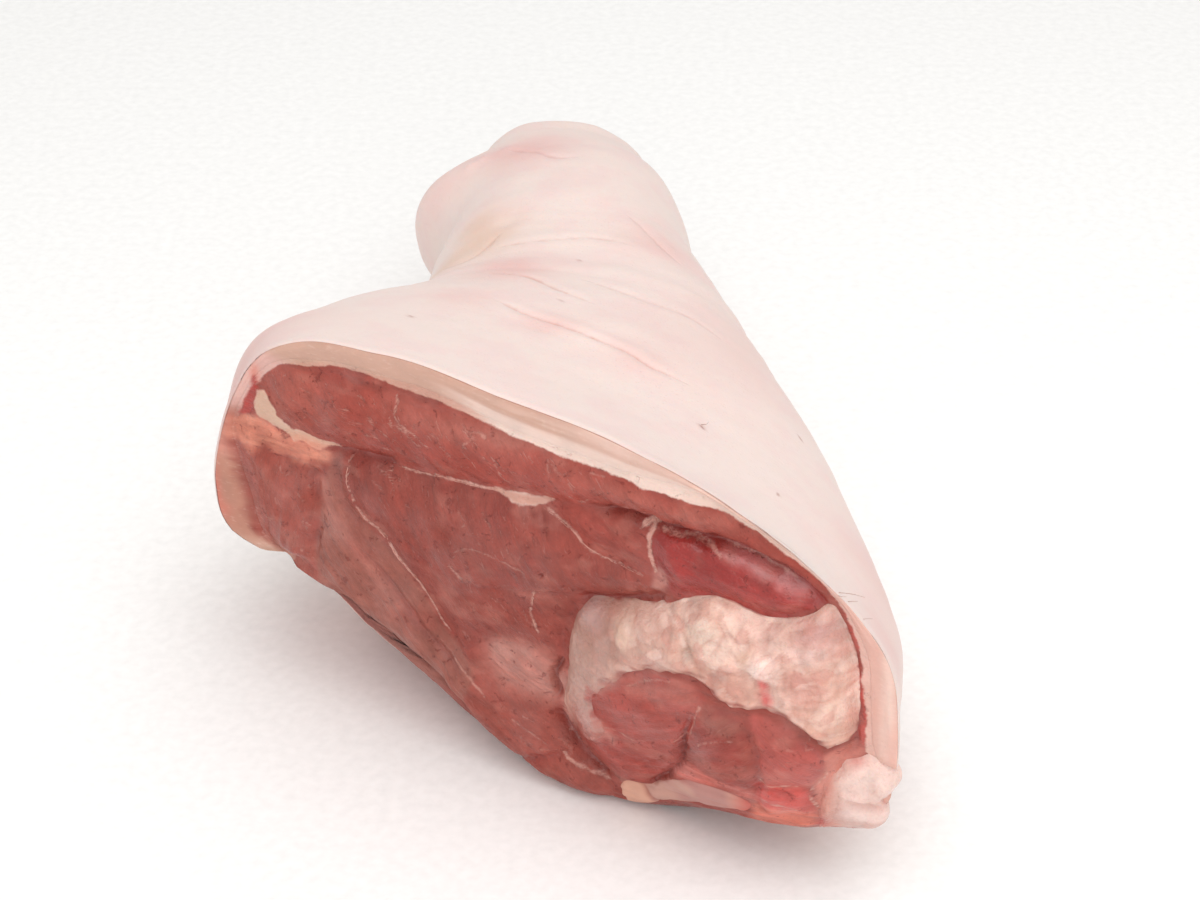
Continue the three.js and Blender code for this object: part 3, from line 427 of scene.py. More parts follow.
TONES = {
    "meat": (150, 70, 60), "lower": (153, 74, 63), "flank": (157, 75, 63), "sheet": (152, 88, 76),
    "central": (147, 69, 59), "upper": (158, 70, 59), "wedge": (154, 70, 60), "wet": (150, 46, 42),
    "lump": (186, 120, 108), "knuckle_left": (164, 72, 63), "knuckle_middle": (152, 66, 58),
    "knuckle_right": (182, 88, 80), "blood_fold": (196, 84, 76), "sinew": (206, 128, 114),
    "membrane": (226, 146, 122), "stripe": (176, 108, 96), "pale": (192, 126, 112),
    "veil": (200, 142, 130), "grey": (158, 95, 83), "brown": (148, 70, 58),
    # The violet on the wet muscle is a painted sheen.
    "pink_floor": (210, 114, 102), "orange": (222, 124, 104), "violet": (194, 122, 120),
    # dark also paints the shade in the furrows and the shadow under the flap.
    "blood": (205, 84, 76), "dark": (134, 40, 33), "gap": (176, 56, 48), "seam": (218, 166, 152),
    "underside": (172, 98, 88),
    "band_left": (208, 166, 148), "band_top": (224, 187, 173), "band_inner": (236, 208, 196),
    "band_foot": (206, 150, 134), "corner": (214, 174, 152), "flap": (188, 132, 113),
    "junction": (206, 154, 138), "right_fold": (226, 180, 167), "rim_red": (212, 120, 104),
    "skin_side": (224, 178, 168), "membrane_edge": (208, 140, 124),
    "meat_pits": (118, 40, 34), "meat_flecks": (212, 150, 138), "meat_film": (196, 124, 112),
    "fat_threads": (246, 226, 214),
    "skin": (237, 218, 211), "skin_pink": (236, 208, 204), "flush": (226, 170, 164),
    "tan": (222, 184, 160), "crease": (206, 146, 130), "speck": (158, 92, 78),
    "pores": (216, 168, 156), "dry_edge": (180, 120, 100),
    # The lobes' lighter colour is a painted highlight; the creases' darker colour is partly painted
    # shade.
    "pad": (218, 174, 158), "pad_lobe_highlight": (244, 212, 198), "pad_beads": (240, 210, 198),
    "pad_pink": (204, 140, 128), "pad_grey": (186, 150, 140), "pad_creases": (192, 132, 116),
    "veins": (206, 134, 122),
    "pelvic": (186, 134, 126), "pelvic_light": (200, 152, 138), "pelvic_knob": (218, 166, 144),
    "pelvic_joint": (176, 112, 98), "pelvic_rim": (182, 96, 86), "pelvic_end": (200, 92, 82),
    "bone_pores": (142, 66, 56), "shank": (232, 210, 190), "marrow": (190, 112, 94),
    "lobe": (214, 172, 160), "lobe_light": (234, 200, 190), "lobe_left": (206, 130, 112),
    "lobe_groove": (206, 152, 140), "silver": (204, 146, 132), "bristle": (172, 128, 114),
    "floor": (252, 252, 251)}


def linear(colour):
    c = np.asarray(colour, float) / 255
    return np.where(c <= 0.04045, c / 12.92, ((c + 0.055) / 1.055) ** 2.4)


TONE = {name: linear(colour) for name, colour in TONES.items()}

# ---- Curves and noise -------------------------------------------------


MM = 0.001
FAR_OUTSIDE = 12.0  # further from an outline than this, the distance isn't worked out
SEAM_REACH = 4.0
NO_LINE = 9.0  # a distance that is too far from any seam or crease to show


def smooth(x, start, end):
    t = np.clip((x - start) / (end - start), 0, 1)
    return t * t * (3 - 2 * t)


def window(x, start, full, leaving, end):
    """0 before the start and after the end, 1 from full to leaving."""
    return smooth(x, start, full) * (1 - smooth(x, leaving, end))


def mix(a, b, t):
    return a + (b - a) * t


def bell(x):
    """1 at 0, falling away on both sides."""
    return np.exp(-(x**2))


def knot_slopes(xs, ys):
    knots = np.arange(len(xs))
    a, b = np.maximum(knots - 1, 0), np.minimum(knots + 1, len(xs) - 1)
    return (ys[b] - ys[a]) / (xs[b] - xs[a]).reshape(-1, *(1,) * (ys.ndim - 1))


def blend(a, b, slope_a, slope_b, h, t):
    """The smooth way from a to b over a span h, at the share t, with the slopes at both ends."""
    return ((2 * t**3 - 3 * t**2 + 1) * a + (t**3 - 2 * t**2 + t) * h * slope_a
            + (3 * t**2 - 2 * t**3) * b + (t**3 - t**2) * h * slope_b)


def through(xs, ys, x):
    """Smooth value at x through the knots, each slope taken from the knot's neighbours."""
    xs, ys, x = (np.asarray(a, float) for a in (xs, ys, x))
    i = np.clip(np.searchsorted(xs, x, side="right") - 1, 0, len(xs) - 2)
    slope = knot_slopes(xs, ys)
    h = xs[i + 1] - xs[i]
    shape = x.shape + (1,) * (ys.ndim - 1)
    t = ((x - xs[i]) / h).reshape(shape)
    return blend(ys[i], ys[i + 1], slope[i], slope[i + 1], h.reshape(shape), t)


def round_the_turn(pairs):
    """The same for a value that repeats every full turn, from (degrees, value) pairs."""
    pairs = sorted((deg % 360, value) for deg, value in pairs)
    knots = ([(d - 360, x) for d, x in pairs[-2:]] + pairs + [(d + 360, x) for d, x in pairs[:2]])
    xs, ys = zip(*knots)
    return lambda theta: through(xs, ys, np.degrees(theta) % 360)


def along_line(points, count):
    """Points evenly spaced along a smooth curve through the given ones."""
    points = np.asarray(points, float)
    chord = np.concatenate([[0], np.cumsum(np.linalg.norm(np.diff(points, axis=0), axis=1))])
    fine = through(chord, points, np.linspace(0, chord[-1], 40 * len(points)))
    length = np.concatenate([[0], np.cumsum(np.linalg.norm(np.diff(fine, axis=0), axis=1))])
    even = np.linspace(0, length[-1], count)
    return np.stack([np.interp(even, length, fine[:, k]) for k in range(points.shape[1])], -1)


def rounded(outline):
    """A closed outline with its corners cut twice."""
    p = np.asarray(outline, float)
    for _ in range(2):
        q = np.roll(p, -1, axis=0)
        p = np.stack([0.75 * p + 0.25 * q, 0.25 * p + 0.75 * q], 1).reshape(-1, 2)
    return p


def to_line(points, line):
    """Distance from each point to a line, and the share of the line's points at the nearest."""
    best, share = np.full(points.shape[:-1], 1e9), np.zeros(points.shape[:-1])
    line = np.asarray(line, float)
    for k, (a, b) in enumerate(zip(line[:-1], line[1:])):
        d = b - a
        t = np.clip((points - a) @ d / (d @ d), 0, 1)
        away = np.linalg.norm(points - a - t[..., None] * d, axis=-1)
        share = np.where(away < best, (k + t) / (len(line) - 1), share)
        best = np.minimum(best, away)
    return best, share


def near_box(points, line, reach):
    """Which points lie within reach of the box round a line."""
    low, high = line.min(axis=0) - reach, line.max(axis=0) + reach
    return np.all((points > low) & (points < high), axis=-1)


def depth_inside(outline, points):
    """How far each point lies inside a closed outline; negative outside, down to FAR_OUTSIDE."""
    outline = rounded(outline)
    depth = np.full(points.shape[:-1], -FAR_OUTSIDE)
    near = near_box(points, outline, FAR_OUTSIDE)
    away, _ = to_line(points[near], np.vstack([outline, outline[:1]]))
    u, v = points[near].T
    inside = np.zeros(u.shape, bool)
    for (au, av), (bu, bv) in zip(outline, np.roll(outline, -1, axis=0)):
        if av != bv:
            inside ^= ((av > v) != (bv > v)) & (u < au + (bu - au) * (v - av) / (bv - av))
    depth[near] = np.where(inside, away, -np.minimum(away, FAR_OUTSIDE))
    return depth


def scattered(cell, seed):
    """An even random number from 0 to 1 for each whole-number cell."""
    n = cell[..., 0] * 73856093 ^ cell[..., 1] * 19349663 ^ cell[..., 2] * 83492791
    n = (n ^ (seed * 2654435761)) & 0xFFFFFFFF
    for shift, factor in ((15, 2246822519), (13, 3266489917)):
        n = ((n ^ (n >> shift)) * factor) & 0xFFFFFFFF
    return ((n ^ (n >> 16)) & 0xFFFFFF) / 0xFFFFFF


def noise(points, size, seed):
    """Smooth noise from -1 to 1."""
    q = points / np.asarray(size, float)
    cell = np.floor(q).astype(np.int64)
    t = q - cell
    t = t * t * (3 - 2 * t)
    total = 0
    for corner in product((0, 1), repeat=3):
        weight = np.prod(np.where(corner, t, 1 - t), axis=-1)
        total = total + weight * scattered(cell + np.array(corner), seed)
    return 2 * total - 1


def rough(points, size, seed):
    """Noise with finer noise on it."""
    size = np.asarray(size, float)
    return sum(noise(points, size / 2**k, seed + k) / 2**k for k in range(3)) / 1.6


def layered(points, *layers):
    """The sum of some noises, each given by its strength, size and seed."""
    return sum(strength * noise(points, size, seed) for strength, size, seed in layers)


def grains(points, size, seed):
    """Distance to the nearest and second nearest of scattered points, in cells."""
    q = points / np.asarray(size, float)
    cell = np.floor(q).astype(np.int64)
    first = np.full(q.shape[:-1], 9.0)
    second = first.copy()
    tint = first * 0
    for step in product((-1, 0, 1), repeat=3):
        near = cell + np.array(step)
        spot = near + np.stack([scattered(near, seed + k) for k in range(3)], -1)
        away = np.linalg.norm(q - spot, axis=-1)
        second = np.minimum(second, np.maximum(first, away))
        tint = np.where(away < first, scattered(near, seed + 7), tint)
        first = np.minimum(first, away)
    return first, second, tint


# ---- The leg's outer form ---------------------------------------------

TURN = np.radians(BUTT["turn"])
ACROSS = np.array([np.cos(TURN), -np.sin(TURN), 0])
UP = np.array([0, 0, 1.0])
OUT = np.array([-np.sin(TURN), -np.cos(TURN), 0])
BUTT_MIDDLE = np.array(BUTT["middle"])
BUTT_ORIGIN = np.array([0, BUTT["y"], 0])

ELEVATION = np.radians(CAMERA["elevation"])
TO_CAMERA = np.array([0, -np.cos(ELEVATION), np.sin(ELEVATION)])
SEEN_SHIFT = np.array([TO_CAMERA @ ACROSS, TO_CAMERA @ UP]) / (TO_CAMERA @ OUT)


def reach_round(outline):
    """An outline's distance from (0, 0), as a function of the angle."""
    return round_the_turn([(np.degrees(np.arctan2(v, u)), np.hypot(u, v)) for u, v in outline])


rim_radius = reach_round(np.array(BUTT_RIM) - BUTT_MIDDLE)
fat_at_cut = round_the_turn(FAT_AT_CUT)


def settle(z):
    """Weight flattens the underside: whatever would hang below 0 lies flat."""
    return np.where(z >= SETTLE, z, np.where(z <= -SETTLE, 0, (z + SETTLE) ** 2 / (4 * SETTLE)))


def on_cut(u, v, out):
    """Points that stand out from the cut's plane by that much."""
    u, v, out = (np.asarray(x, float)[..., None] for x in np.broadcast_arrays(u, v, out))
    p = BUTT_ORIGIN + u * ACROSS + v * UP + out * OUT
    p[..., 2] = settle(p[..., 2])
    return p


def round_the_cut(theta, radius):
    """(u, v) at an angle and radius on the cut."""
    return BUTT_MIDDLE[0] + radius * np.cos(theta), BUTT_MIDDLE[1] + radius * np.sin(theta)


def stations(theta):
    """The rings that the skin passes through, the cut's rim first."""
    u, v = round_the_cut(theta, rim_radius(theta))
    rings = [BUTT_ORIGIN + u[..., None] * ACROSS + v[..., None] * UP]
    c, s = np.cos(theta), np.sin(theta)
    to_right, to_top = 0.5 * (1 + np.tanh(4 * c)), 0.5 * (1 + np.tanh(4 * s))
    power = 2 / SQUARENESS
    for row in zip(*SECTIONS.values()):
        k = dict(zip(SECTIONS, row))
        wide = mix(k["left"], k["right"], to_right) * np.sign(c) * np.abs(c) ** power
        high = (mix(k["z"] - k["floor"], k["top"], to_top) * np.sign(s) * np.abs(s) ** power
                + k["lift"] * to_top * c * np.sqrt(np.clip(s, 0, 1)))
        roll, turn = np.radians(k["roll"]), np.radians(k["turn"])
        across = wide * np.cos(roll) - high * np.sin(roll)
        up = wide * np.sin(roll) + high * np.cos(roll)
        rings.append(np.stack([k["x"] + across * np.cos(turn), k["y"] - across * np.sin(turn),
                               k["z"] + up], -1))
    return np.array(rings)


STATIONS = (0.0,) + SECTIONS["at"]
MIDDLES = np.vstack([
    [BUTT_ORIGIN + BUTT_MIDDLE[0] * ACROSS + BUTT_MIDDLE[1] * UP],
    np.stack([SECTIONS["x"], SECTIONS["y"], SECTIONS["z"]], -1)])


def outward(p, at):
    """Directions from the leg's middle line to points."""
    out = p - through(STATIONS, MIDDLES, at)
    return out / np.linalg.norm(out, axis=-1, keepdims=True)


def surface(theta, at, inset=0.0):
    """Points of the leg's surface, theta and at of the same shape, inset towards the middle."""
    theta, at = np.broadcast_arrays(np.asarray(theta, float), np.asarray(at, float))
    shape = theta.shape
    theta, at = theta.ravel(), at.ravel()
    rings = stations(theta)
    xs = np.array(STATIONS)
    i = np.clip(np.searchsorted(xs, at, side="right") - 1, 0, len(xs) - 2)
    slope = knot_slopes(xs, rings)
    h = (xs[i + 1] - xs[i])[:, None]
    t = (at - xs[i])[:, None] / h
    n = np.arange(len(at))
    p = blend(rings[i, n], rings[i + 1, n], slope[i, n], slope[i + 1, n], h, t)
    turned = (theta % (2 * np.pi) - np.radians(HEEL["angle"])) / np.radians(HEEL["spread"])
    heel = HEEL["height"] * np.exp(-(((at - HEEL["at"]) / HEEL["length"]) ** 2) - turned**2)
    p = p + (heel - np.broadcast_to(inset, shape).ravel())[:, None] * outward(p, at)
    p[:, 2] = settle(p[:, 2])
    return p.reshape(*shape, 3)


def underneath(theta, soften):
    """1 on the bare inner side, falling to 0 over that many degrees at both ends of it."""
    start, end = BARE["from"], BARE["to"]
    return window(np.degrees(theta) % 360, start, start + soften, end - soften, end)


def rind_start(theta):
    """Where the rind begins: at the cut, or further back under the bare inner side."""
    start = BARE["back"] * underneath(theta, BARE["soften"])
    return np.where(start < BARE["least"], 0, start)


def tapered(theta):
    """1 where the rind's edge is thin, underneath."""
    return underneath(theta, THIN_EDGE["soften"])


def edge_thickness(theta):
    """The fat's thickness at its cut edge."""
    return mix(fat_at_cut(theta), THIN_EDGE["thick"], tapered(theta))


def rind_thickness(theta, at):
    """The rind and its fat: as at the cut there, and evenly thinner towards the shank."""
    along = mix(FAT_ALONG["body"], FAT_ALONG["shank"], smooth(at, FAT_ALONG["blend"], 1))
    behind = (at - rind_start(theta)) / FAT_ALONG["blend"]
    return mix(edge_thickness(theta), along, smooth(behind, 0, 1))


def rounded_end(theta, share, inset=0.0):
    """The skin beyond the hock, rounding over the sawn end as share goes from 0 to 1."""
    turn = share * np.pi / 2
    shrink = 1 - HOCK_END["close"] * (1 - np.cos(turn))
    p = (surface(theta, np.ones_like(theta)) - MIDDLES[-1]) * shrink
    p = p * (1 - inset / np.linalg.norm(p, axis=-1))[..., None]
    return MIDDLES[-1] + p + np.array([0, HOCK_END["depth"] * np.sin(turn), 0])


# ---- The cut face: its height, colours and marks ----------------------


def tone_of(colour):
    """A colour's linear values, from its name, its (r, g, b) on screen or the values themselves."""
    if isinstance(colour, np.ndarray):
        return colour
    return TONE[colour] if isinstance(colour, str) else linear(colour)


def even_tone(colour, like):
    return np.broadcast_to(tone_of(colour), (*np.shape(like), 3))


def pasted(tone, colour, weight):
    """Lays a colour over the tones where weight is 1."""
    return tone + (tone_of(colour) - tone) * np.clip(weight, 0, 1)[..., None]


def spot(p, u, v, ru, rv):
    """1 at (u, v), falling away over the half sizes."""
    return np.exp(-((p[..., 0] - u) / ru) ** 2 - ((p[..., 1] - v) / rv) ** 2)


def flat_points(u, v):
    return np.stack([u, v, np.zeros_like(u)], -1)


def swell(p, muscles):
    """Height of the cut's soft forms, and how deep p lies inside each muscle."""
    height = np.zeros(p.shape[:-1])
    for u0, v0, ru, rv, rise in SWELLINGS:
        reach = 1 - ((p[..., 0] - u0) / ru) ** 2 - ((p[..., 1] - v0) / rv) ** 2
        height += rise * np.clip(reach, 0, 1) ** 2
    rise, edge, outline = KNUCKLE
    height += rise * (1 - np.exp(-np.maximum(depth_inside(outline, p), 0) / edge))
    deep = {name: depth_inside(m[3], p) for name, m in muscles.items()}
    for name, (rise, edge, _, _) in muscles.items():
        steep = np.maximum(deep[name], 0) / edge
        height += rise * (1 - np.exp(-(steep**2) / (steep + 0.6)))
    return height, deep


def band_growth(deg):
    """How much further than the rind piece the band of fat reaches into the meat, on the right."""
    return 4.0 * window(deg, 42, 50, 57, 66)


def to_rim(u, v):
    """Angle and radius on the cut, how bare the rim is there, and how far inside the fat it lies."""
    theta = np.arctan2(v - BUTT_MIDDLE[1], u - BUTT_MIDDLE[0])
    radius = np.hypot(u - BUTT_MIDDLE[0], v - BUTT_MIDDLE[1])
    bare = rind_start(theta) / BARE["back"]
    fat_edge = rim_radius(theta) - fat_at_cut(theta)
    inside = np.maximum(mix(fat_edge, rim_radius(theta), bare) - radius, 0)
    return theta, radius, bare, fat_edge, inside


def cornered(height, inside, bare):
    """The height with the rim's corner rounded off."""
    corner = np.maximum(1 - inside / CORNER["width"], 0) ** 2
    return height * (1 - corner) - mix(CORNER["rind_side"], CORNER["drop"], bare) * corner


class Swell:
    """The cut's soft height on a grid, to find where what the camera sees truly lies."""

    def __init__(self, muscles):
        self.low, self.step = np.array([-170.0, -26.0]), 2.0
        u, v = np.meshgrid(np.arange(-170, 125, self.step), np.arange(-26, 170, self.step))
        height, _ = swell(np.stack([u, v], -1), muscles)
        _, _, bare, _, inside = to_rim(u, v)
        self.height = cornered(height, inside, bare)

    def at(self, p):
        q = (p - self.low) / self.step
        i, j = (np.clip(q[:, k], 0, self.height.shape[1 - k] - 1.001) for k in (0, 1))
        a, b = i.astype(int), j.astype(int)
        x, y = i - a, j - b
        h = self.height
        return mix(mix(h[b, a], h[b, a + 1], x), mix(h[b + 1, a], h[b + 1, a + 1], x), y)

    def on_face(self, seen, above=0.0):
        """True (u, v) of points seen on the flat plane, lying that far above the swell."""
        seen = np.asarray(seen, float)
        p = seen.copy()
        for _ in range(60):
            height = self.at(p) + above
            p = 0.7 * p + 0.3 * (seen + height[:, None] * SEEN_SHIFT)
        return p


def place_muscles():
    """The muscles' outlines where they truly lie; each round knows the swell a little better."""
    muscles = MUSCLES
    for _ in range(3):
        swelled = Swell(muscles)
        muscles = {name: (*m[:3], swelled.on_face(m[3])) for name, m in MUSCLES.items()}
    return muscles, Swell(muscles)


def strokes():
    """Seams with the short pale strokes added, as they are seen."""
    rng = np.random.default_rng(7)
    lines = list(SEAMS)
    for count, white, u, v, ru, rv in FLECKS:
        for _ in range(count):
            middle = np.array([u, v]) + rng.uniform(-1, 1, 2) * (ru, rv)
            angle = np.radians(rng.normal(-25, 35))
            along = np.array([np.cos(angle), np.sin(angle)])
            half, bend = rng.uniform(1.0, 3.4), rng.normal(0, 0.7)
            side = np.array([-along[1], along[0]]) * bend
            line = [middle - along * half, middle + side, middle + along * half]
            lines.append((white * rng.uniform(0.5, 1.3), 0.4, 0.15, line))
    return lines


def fibre_places(u, v, deep):
    """Points turned to each muscle's fibres and drawn out along them."""
    grain = flat_points(u, v)
    for k, (name, (_, _, angle, _)) in enumerate(MUSCLES.items(), 1):
        a = np.radians(angle)
        turned = np.stack([(u * np.cos(a) + v * np.sin(a)), -u * np.sin(a) + v * np.cos(a),
                           np.full_like(u, 37.0 * k)], -1)
        grain = np.where((deep[name] > 0)[..., None], turned, grain)
    return grain / np.array([5.0, 1.0, 1.0])


def furrowed(height, p, flat):
    """The height with the furrows pressed in, and how dark they are: their own dark red with painted
    shade.
    """
    dark, ragged = np.zeros(p.shape[:-1]), 0.35 * noise(flat, 3, 27)
    for depth, width, shade, line in FURROWS:
        away, share = to_line(p, line)
        away = np.maximum(away + ragged, 0)
        ends = window(share, -0.02, 0.16, 0.86, 1.02)
        height -= depth * ends * bell(away / width)
        dark = np.maximum(dark, shade * ends * bell(away / (0.75 * width)))
    return height, dark


def meat_tones(p, flat, fibres, deep, dark, open_gap):
    tone = even_tone("meat", p[..., 0])
    for name in MUSCLES:
        soft = 5 if name == "lump" else 1.4
        tone = pasted(tone, name, smooth(deep[name] + 0.2 * soft, -soft, soft))
    away, _ = to_line(p, STRIPE)
    tone = pasted(tone, "stripe", 0.8 * bell(away / 2.6))
    blur = noise(flat, 6, 33) + 0.6 * noise(flat, 2.5, 34)
    streaky = 1 - 0.35 * smooth(noise(fibres, (2.4, 1.4, 1), 35), -0.2, 0.6)
    for colour, strength, soft, outline in PAINTED:
        covered = depth_inside(outline, p) + 0.8 * soft * blur
        tone = pasted(tone, colour, strength * streaky * smooth(covered, -soft, soft))
    tone = pasted(tone, "pale", sum(part * spot(p, *place) for part, *place in PALE_SPOTS))
    tone = pasted(tone, "dark", 0.22 * smooth(rough(flat, 11, 41), 0.05, 0.7))
    tone = pasted(tone, "pale", 0.25 * smooth(rough(flat, (9, 6, 1), 49), 0.1, 0.7))
    # Painted shade in the furrows, over their own dark red.
    tone = pasted(tone, "dark", 0.62 * dark)
    tone = pasted(tone, "gap", open_gap)
    return tone * (1 + 0.08 * noise(flat, 6, 42) + 0.12 * noise(fibres, 1.6, 43)
                   + 0.07 * noise(flat, 2.4, 39))[..., None]


def on_top(deg):
    """1 where the band of fat on top of the cut shows its layers."""
    return window(deg, 52, 70, 140, 158)


def band_layers(theta, outward):
    """Places that are drawn out along the band of fat."""
    return np.stack([outward * 9, np.degrees(theta) * 0.35, outward * 0], -1)


def fat_tones(p, flat, fibres, tone, patches, into_band, rim):
    """The colour that each point of the cut has where it is fat; rim is what to_rim() gives."""
    theta, radius, _, fat_edge, _ = rim
    deg = np.degrees(theta) % 360
    thick = np.maximum(fat_at_cut(theta), 1)
    under = (rim_radius(theta) - radius) / thick
    layers = band_layers(theta, (radius - fat_edge) / thick)
    fat_tone = pasted(even_tone("band_left", deg), "band_top", smooth(-deg, -96, -66))
    wave = under + 0.12 * noise(np.stack([deg * 0.35, under * 3, deg * 0], -1), (7, 3, 1), 44)
    inner = smooth(wave, 0.46, 0.6) * smooth(-deg, -122, -106) * smooth(deg, 30, 55)
    fat_tone = pasted(fat_tone, "band_inner", inner)
    streak = smooth(noise(layers, (0.7, 5, 1), 48), 0.1, 0.6)
    fat_tone = pasted(fat_tone, "band_inner", 0.3 * streak * smooth(-deg, -118, -90))
    fat_tone = pasted(fat_tone, "band_left", 0.5 * bell((wave - 0.5) / 0.06) * on_top(deg))
    soft_edge = window(deg, 158, 166, 186, 196)
    frayed = into_band + 2.2 * noise(fibres, (2.6, 1.6, 1), 36) + 1.2 * noise(flat, 4, 37)
    for colour, weight in (
            ("band_foot", 0.6 * on_top(deg) * smooth(wave, 0.86, 1.0) * smooth(deg, 104, 114)),
            ("skin_side", window(deg, 145, 149, 160, 164)),
            ("membrane_edge", window(deg, 160, 164, 170, 176)),
            ("flap", smooth(patches["flap"], -5, 2) * smooth(deg, 166, 174)),
            ("corner", smooth(patches["corner"], -1.5, 0.5)),
            ("junction", smooth(patches["junction"], -1.5, 0.5)),
            ("right_fold", smooth(deg, 320, 335) + 1 - smooth(deg, 20, 35)),
            ("band_inner", 0.75 * spot(p, *FAT_SPOTS["fold"])),
            ("rim_red", 0.75 * spot(p, *FAT_SPOTS["rim"]) + 0.5 * spot(p, *FAT_SPOTS["foot"])),
            ("dark", 0.9 * smooth(depth_inside(FLAP_SHADOW, p), -0.5, 0.8)),
            ("membrane", 0.85 * spot(p, *FAT_SPOTS["membrane"])),
            (tone, 0.9 * soft_edge * (1 - smooth(frayed, 1, 8))),
            ("orange", 0.6 * spot(p, *FAT_SPOTS["corner"]))):
        fat_tone = pasted(fat_tone, colour, weight)
    return fat_tone


def white_seams(p):
    """Distance to the nearest white seam's edge, and how white that seam is."""
    seam, white = np.full(p.shape[:-1], NO_LINE), np.zeros(p.shape[:-1])
    for strength, start, end, line in STROKES:
        near = near_box(p, line, SEAM_REACH)
        away, share = to_line(p[near], line)
        ends = 0.7 * (1 - smooth(share, 0, 0.06) + smooth(share, 0.94, 1))
        away = away - mix(start, end, share) + ends
        white[near] = np.where(away < seam[near], strength, white[near])
        seam[near] = np.minimum(seam[near], away)
    return seam, white


def cut_face(u, v):
    """Everything about the cut face at (u, v)."""
    flat = flat_points(u, v)
    wander = np.stack([layered(flat, (0.7, 11, s), (0.4, 4.5, s + 1)) for s in (1, 3)], -1)
    p = flat[..., :2] + wander
    rim = to_rim(u, v)
    theta, radius, bare, fat_edge, inside = rim

    height, deep = swell(p, MUSCLES)
    fibres = fibre_places(u, v, deep)
    height, dark = furrowed(height, p, flat)
    height += layered(fibres, (0.45, 1.9, 21), (0.2, 1.1, 22))
    height += layered(flat, (0.7, 17, 23), (0.4, 7, 24))
    height = cornered(height, inside, bare)
    outward = (radius - fat_edge) / np.maximum(fat_at_cut(theta), 1)
    layers = band_layers(theta, outward)
    height += (1 - bare) * smooth(outward, 0, 0.8) * (
        1.3 + 0.22 * noise(layers, (1.6, 3, 1), 25) + 0.25 * noise(flat, 8, 26))

    deg = np.degrees(theta) % 360
    into_band = (radius - fat_edge + 1.2 * on_top(deg) + band_growth(deg) + 0.8 * noise(flat, 9, 31)
                 + 0.5 * noise(flat, 3.5, 32) - 30 * smooth(bare, 0, 0.3))
    patches = {name: depth_inside(outline, p) for name, outline in FAT_PATCHES.items()}
    fat = into_band
    for covered in patches.values():
        fat = np.maximum(fat, covered + 0.8 * noise(flat, 3, 38))

    open_gap = 0.95 * smooth(depth_inside(GAP, p), -0.7, 0.6)
    tone = meat_tones(p, flat, fibres, deep, dark, open_gap)
    fat_tone = fat_tones(p, flat, fibres, tone, patches, into_band, rim)
    fat_tone = pasted(fat_tone, "gap", open_gap) * (1 + 0.05 * noise(flat, 6, 45))[..., None]
    seam, white = white_seams(p)

    damp = 0.35 + 0.9 * smooth(deep["wet"], -1, 3) + 0.4 * smooth(deep["lump"], -1, 3)
    for strength, place, ru, rv in DAMP:
        damp = damp + strength * spot(p, *place, ru, rv)
    wet = np.clip(damp + 0.6 * noise(flat, 9, 46) + dark, 0, 1)
    flecks = (smooth(deep["upper"], 0, 4) * (1 - 0.5 * smooth(u, -60, 20))
              + 0.35 * smooth(deep["central"], 0, 5) + 0.3 * smooth(deep["flank"], 0, 5))
    calm = smooth(np.min([np.abs(d) for d in deep.values()], axis=0), 1.0, 2.4)
    return {"height": height, "tone": tone, "fat_tone": fat_tone, "fat": fat, "seam": seam,
            "white": white, "wet": wet, "flecks": flecks, "grain": fibres * MM, "calm": calm}


def strip_edges(strip, count):
    """A strip's outer and inner edge where they truly lie, evenly spaced."""
    return [along_line(SWELL.on_face(strip[edge], strip["above"]), count)
            for edge in ("outer", "inner")]


def strip_cover(strip, u, v):
    """How far (u, v) lies inside a strip's outline."""
    outer, inner = strip_edges(strip, 60)
    return depth_inside(np.vstack([outer, inner[::-1]]), np.stack([u, v], -1))


MUSCLES, SWELL = place_muscles()
FAT_PATCHES = {name: SWELL.on_face(outline) for name, outline in FAT_PATCHES.items()}
PAINTED = [(*look, SWELL.on_face(outline)) for *look, outline in PAINTED]
GAP = SWELL.on_face(GAP, -1.0)
STRIPE, FLAP_SHADOW = SWELL.on_face(STRIPE), np.array(FLAP_SHADOW)
DAMP = [(strength, SWELL.on_face([place])[0], ru, rv) for strength, place, ru, rv in DAMP]
FURROWS = [(depth, *look, along_line(SWELL.on_face(line, -0.6 * depth), 24))
           for depth, *look, line in FURROWS]
STROKES = [(*look, along_line(SWELL.on_face(line), 24 if len(line) > 3 else 6))
           for *look, line in strokes()]


# ---- Meshes -----------------------------------------------------------


def in_metres(points):
    return (np.asarray(points) - LEG_MIDDLE) / 1000


